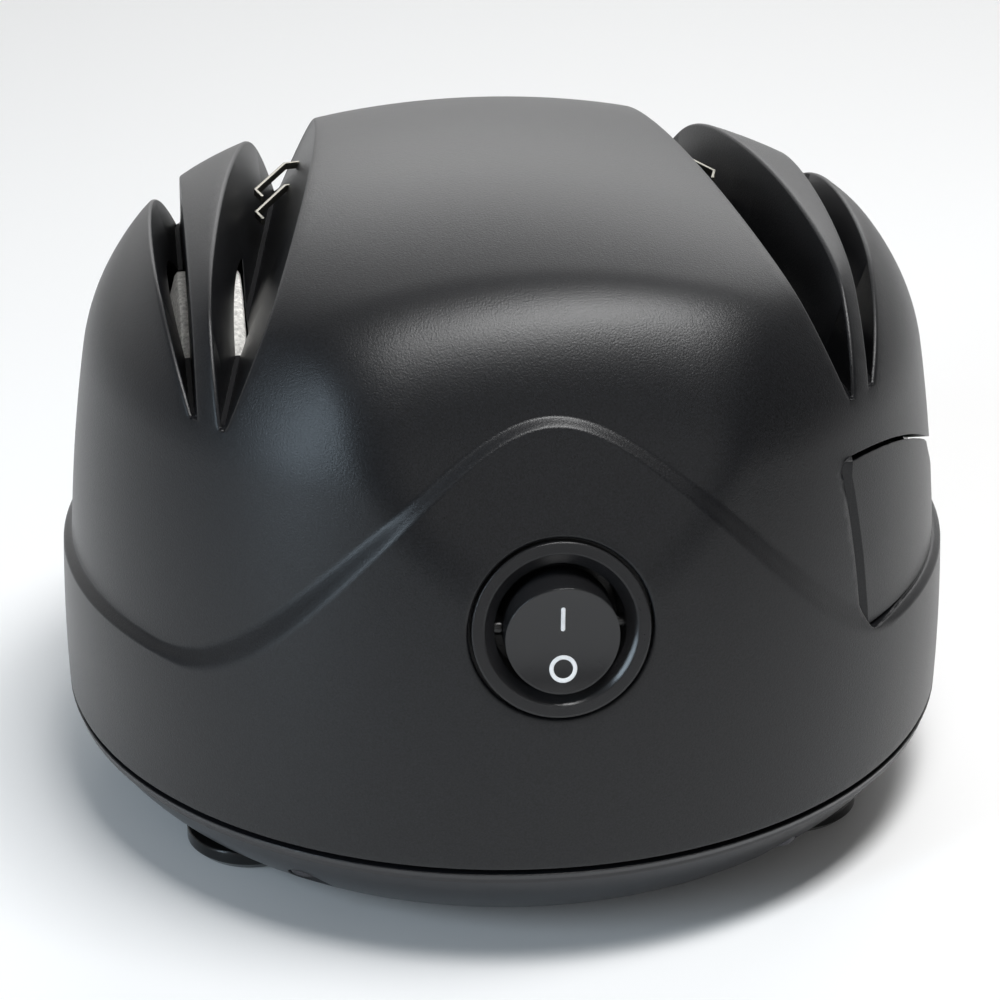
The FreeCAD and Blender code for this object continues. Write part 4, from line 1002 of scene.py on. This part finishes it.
def on_rocker(x, y, lift):
    """A point over the rocker's hollow face, from its sideways and upward place."""
    z = DISH_CENTRE - np.sqrt(DISH_RADIUS**2 - y**2) + lift
    turn = np.array([[1.0, 0.0, 0.0],
                     [0.0, math.cos(ROCKER_REST), -math.sin(ROCKER_REST)],
                     [0.0, math.sin(ROCKER_REST), math.cos(ROCKER_REST)]])
    return rocker_pivot + np.stack([x, y, z], axis=-1) @ turn.T


def stroke(name, path, half_widths, closed):
    """An inked line along a flat path, a little above and below the rocker's face."""
    ahead = np.roll(path, -1, axis=0) - np.roll(path, 1, axis=0) if closed else np.gradient(path, axis=0)
    ahead = ahead / np.linalg.norm(ahead, axis=1, keepdims=True)
    aside = np.stack([-ahead[:, 1], ahead[:, 0]], axis=-1) * half_widths[:, None]
    rows = []
    for sign, lift in ((1, INK), (-1, INK), (-1, -INK), (1, -INK)):
        edge = path + sign * aside
        rows.append(on_rocker(edge[:, 0], edge[:, 1], lift))
    count = len(path)
    points = np.vstack(rows)
    faces = []
    for i in range(count if closed else count - 1):
        j = (i + 1) % count
        for k in range(4):
            a, b = k * count, ((k + 1) % 4) * count
            faces.append([a + i, a + j, b + j, b + i])
    if not closed:
        faces += [[k * count for k in range(4)], [k * count + count - 1 for k in range(4)][::-1]]
    piece = new_piece(name, points, faces)
    piece.data.materials.append(WHITE_INK)
    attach(piece, "rocker")
    return piece


bar_place = np.linspace(1.0, 4.5, 30)
bar_end = np.minimum(bar_place - bar_place[0], bar_place[-1] - bar_place)
bar_half = 0.5 * STROKE * np.sqrt(1.0 - (1.0 - np.clip(bar_end / (0.5 * STROKE), 0.02, 1.0)) ** 2)
stroke("on_mark", np.stack([np.zeros(30), bar_place], axis=-1), bar_half, closed=False)
ring_turn = np.linspace(0.0, 2.0 * math.pi, 72, endpoint=False)
ring_path = 1.52 * np.stack([np.cos(ring_turn), np.sin(ring_turn)], axis=-1) + np.array([0.0, -4.1])
stroke("off_mark", ring_path, np.full(72, 0.5 * STROKE), closed=True)

# %% [markdown]
# ## Floor, surroundings and lights
# The object stands on a pale table in front of white. Wide soft lights from above and behind draw
# the grey sheen on the crown, a narrow cool one on the left draws the streak down that side, and a
# faint one in front fills the rest.

# %% Floor and lights
FLOOR_SIZE = 3.0


def build_floor():
    mesh = bpy.data.meshes.new("floor")
    half = 0.5 * FLOOR_SIZE
    corners = [(-half, -half, 0.0), (half, -half, 0.0), (half, half, 0.0), (-half, half, 0.0)]
    mesh.from_pydata(corners, [], [(0, 1, 2, 3)])
    floor = bpy.data.objects.new("floor", mesh)
    bpy.context.scene.collection.objects.link(floor)
    floor.data.materials.append(finish("pale_table", (0.9, 0.9, 0.9), 0.6, strength=0.0, contrast=0.0))


def soft_light(name, place, target, size, watts, colour=(1.0, 1.0, 1.0)):
    """A rectangular light at a place in metres, turned to a target."""
    data = bpy.data.lights.new(name, "AREA")
    data.shape = "RECTANGLE"
    data.size, data.size_y = size
    data.energy = watts
    data.color = colour
    light = bpy.data.objects.new(name, data)
    bpy.context.scene.collection.objects.link(light)
    light.location = place
    light.rotation_euler = (Vector(target) - Vector(place)).to_track_quat("-Z", "Y").to_euler()
    return light


def build_world(seen=1.0, around=0.14):
    """White to the camera, and white behind the object in reflections; a dim, slightly warm fill
    elsewhere."""
    world = bpy.data.worlds.new("surroundings")
    world.use_nodes = True
    bpy.context.scene.world = world
    nodes, links = world.node_tree.nodes, world.node_tree.links
    background = nodes["Background"]
    path = nodes.new("ShaderNodeLightPath")
    mix = nodes.new("ShaderNodeMixRGB")
    mix.inputs["Color1"].default_value = (around, around * 0.985, around * 0.96, 1.0)
    mix.inputs["Color2"].default_value = (seen, seen, seen, 1.0)
    place = nodes.new("ShaderNodeTexCoord")
    split = nodes.new("ShaderNodeSeparateXYZ")
    behind = nodes.new("ShaderNodeMapRange")
    behind.interpolation_type = "SMOOTHSTEP"
    behind.inputs["From Min"].default_value = -0.1
    behind.inputs["From Max"].default_value = 1.0
    mirrored_ray = nodes.new("ShaderNodeMath")
    mirrored_ray.operation = "MAXIMUM"
    facing = nodes.new("ShaderNodeMath")
    facing.operation = "MULTIPLY"
    white = nodes.new("ShaderNodeMath")
    white.operation = "MAXIMUM"
    links.new(place.outputs["Generated"], split.inputs["Vector"])
    links.new(split.outputs["Y"], behind.inputs["Value"])
    links.new(path.outputs["Is Glossy Ray"], mirrored_ray.inputs[0])
    links.new(path.outputs["Is Transmission Ray"], mirrored_ray.inputs[1])
    links.new(mirrored_ray.outputs["Value"], facing.inputs[0])
    links.new(behind.outputs["Result"], facing.inputs[1])
    links.new(facing.outputs["Value"], white.inputs[0])
    links.new(path.outputs["Is Camera Ray"], white.inputs[1])
    links.new(white.outputs["Value"], mix.inputs["Fac"])
    links.new(mix.outputs["Color"], background.inputs["Color"])


build_floor()
build_world()
soft_light("overhead", (0.12, -0.14, 0.74), (0.0, 0.0, 0.06), (0.42, 0.18), 5.0)
soft_light("behind", (0.25, 0.75, 0.55), (0.0, 0.0, 0.07), (0.9, 0.35), 2.4)
soft_light("left_strip", (-0.55, -0.35, 0.28), (0.0, 0.0, 0.05), (0.12, 0.5), 2.2, (0.7, 0.86, 1.0))
soft_light("front_fill", (0.2, -0.9, 0.35), (0.0, 0.0, 0.05), (0.5, 0.5), 0.6)
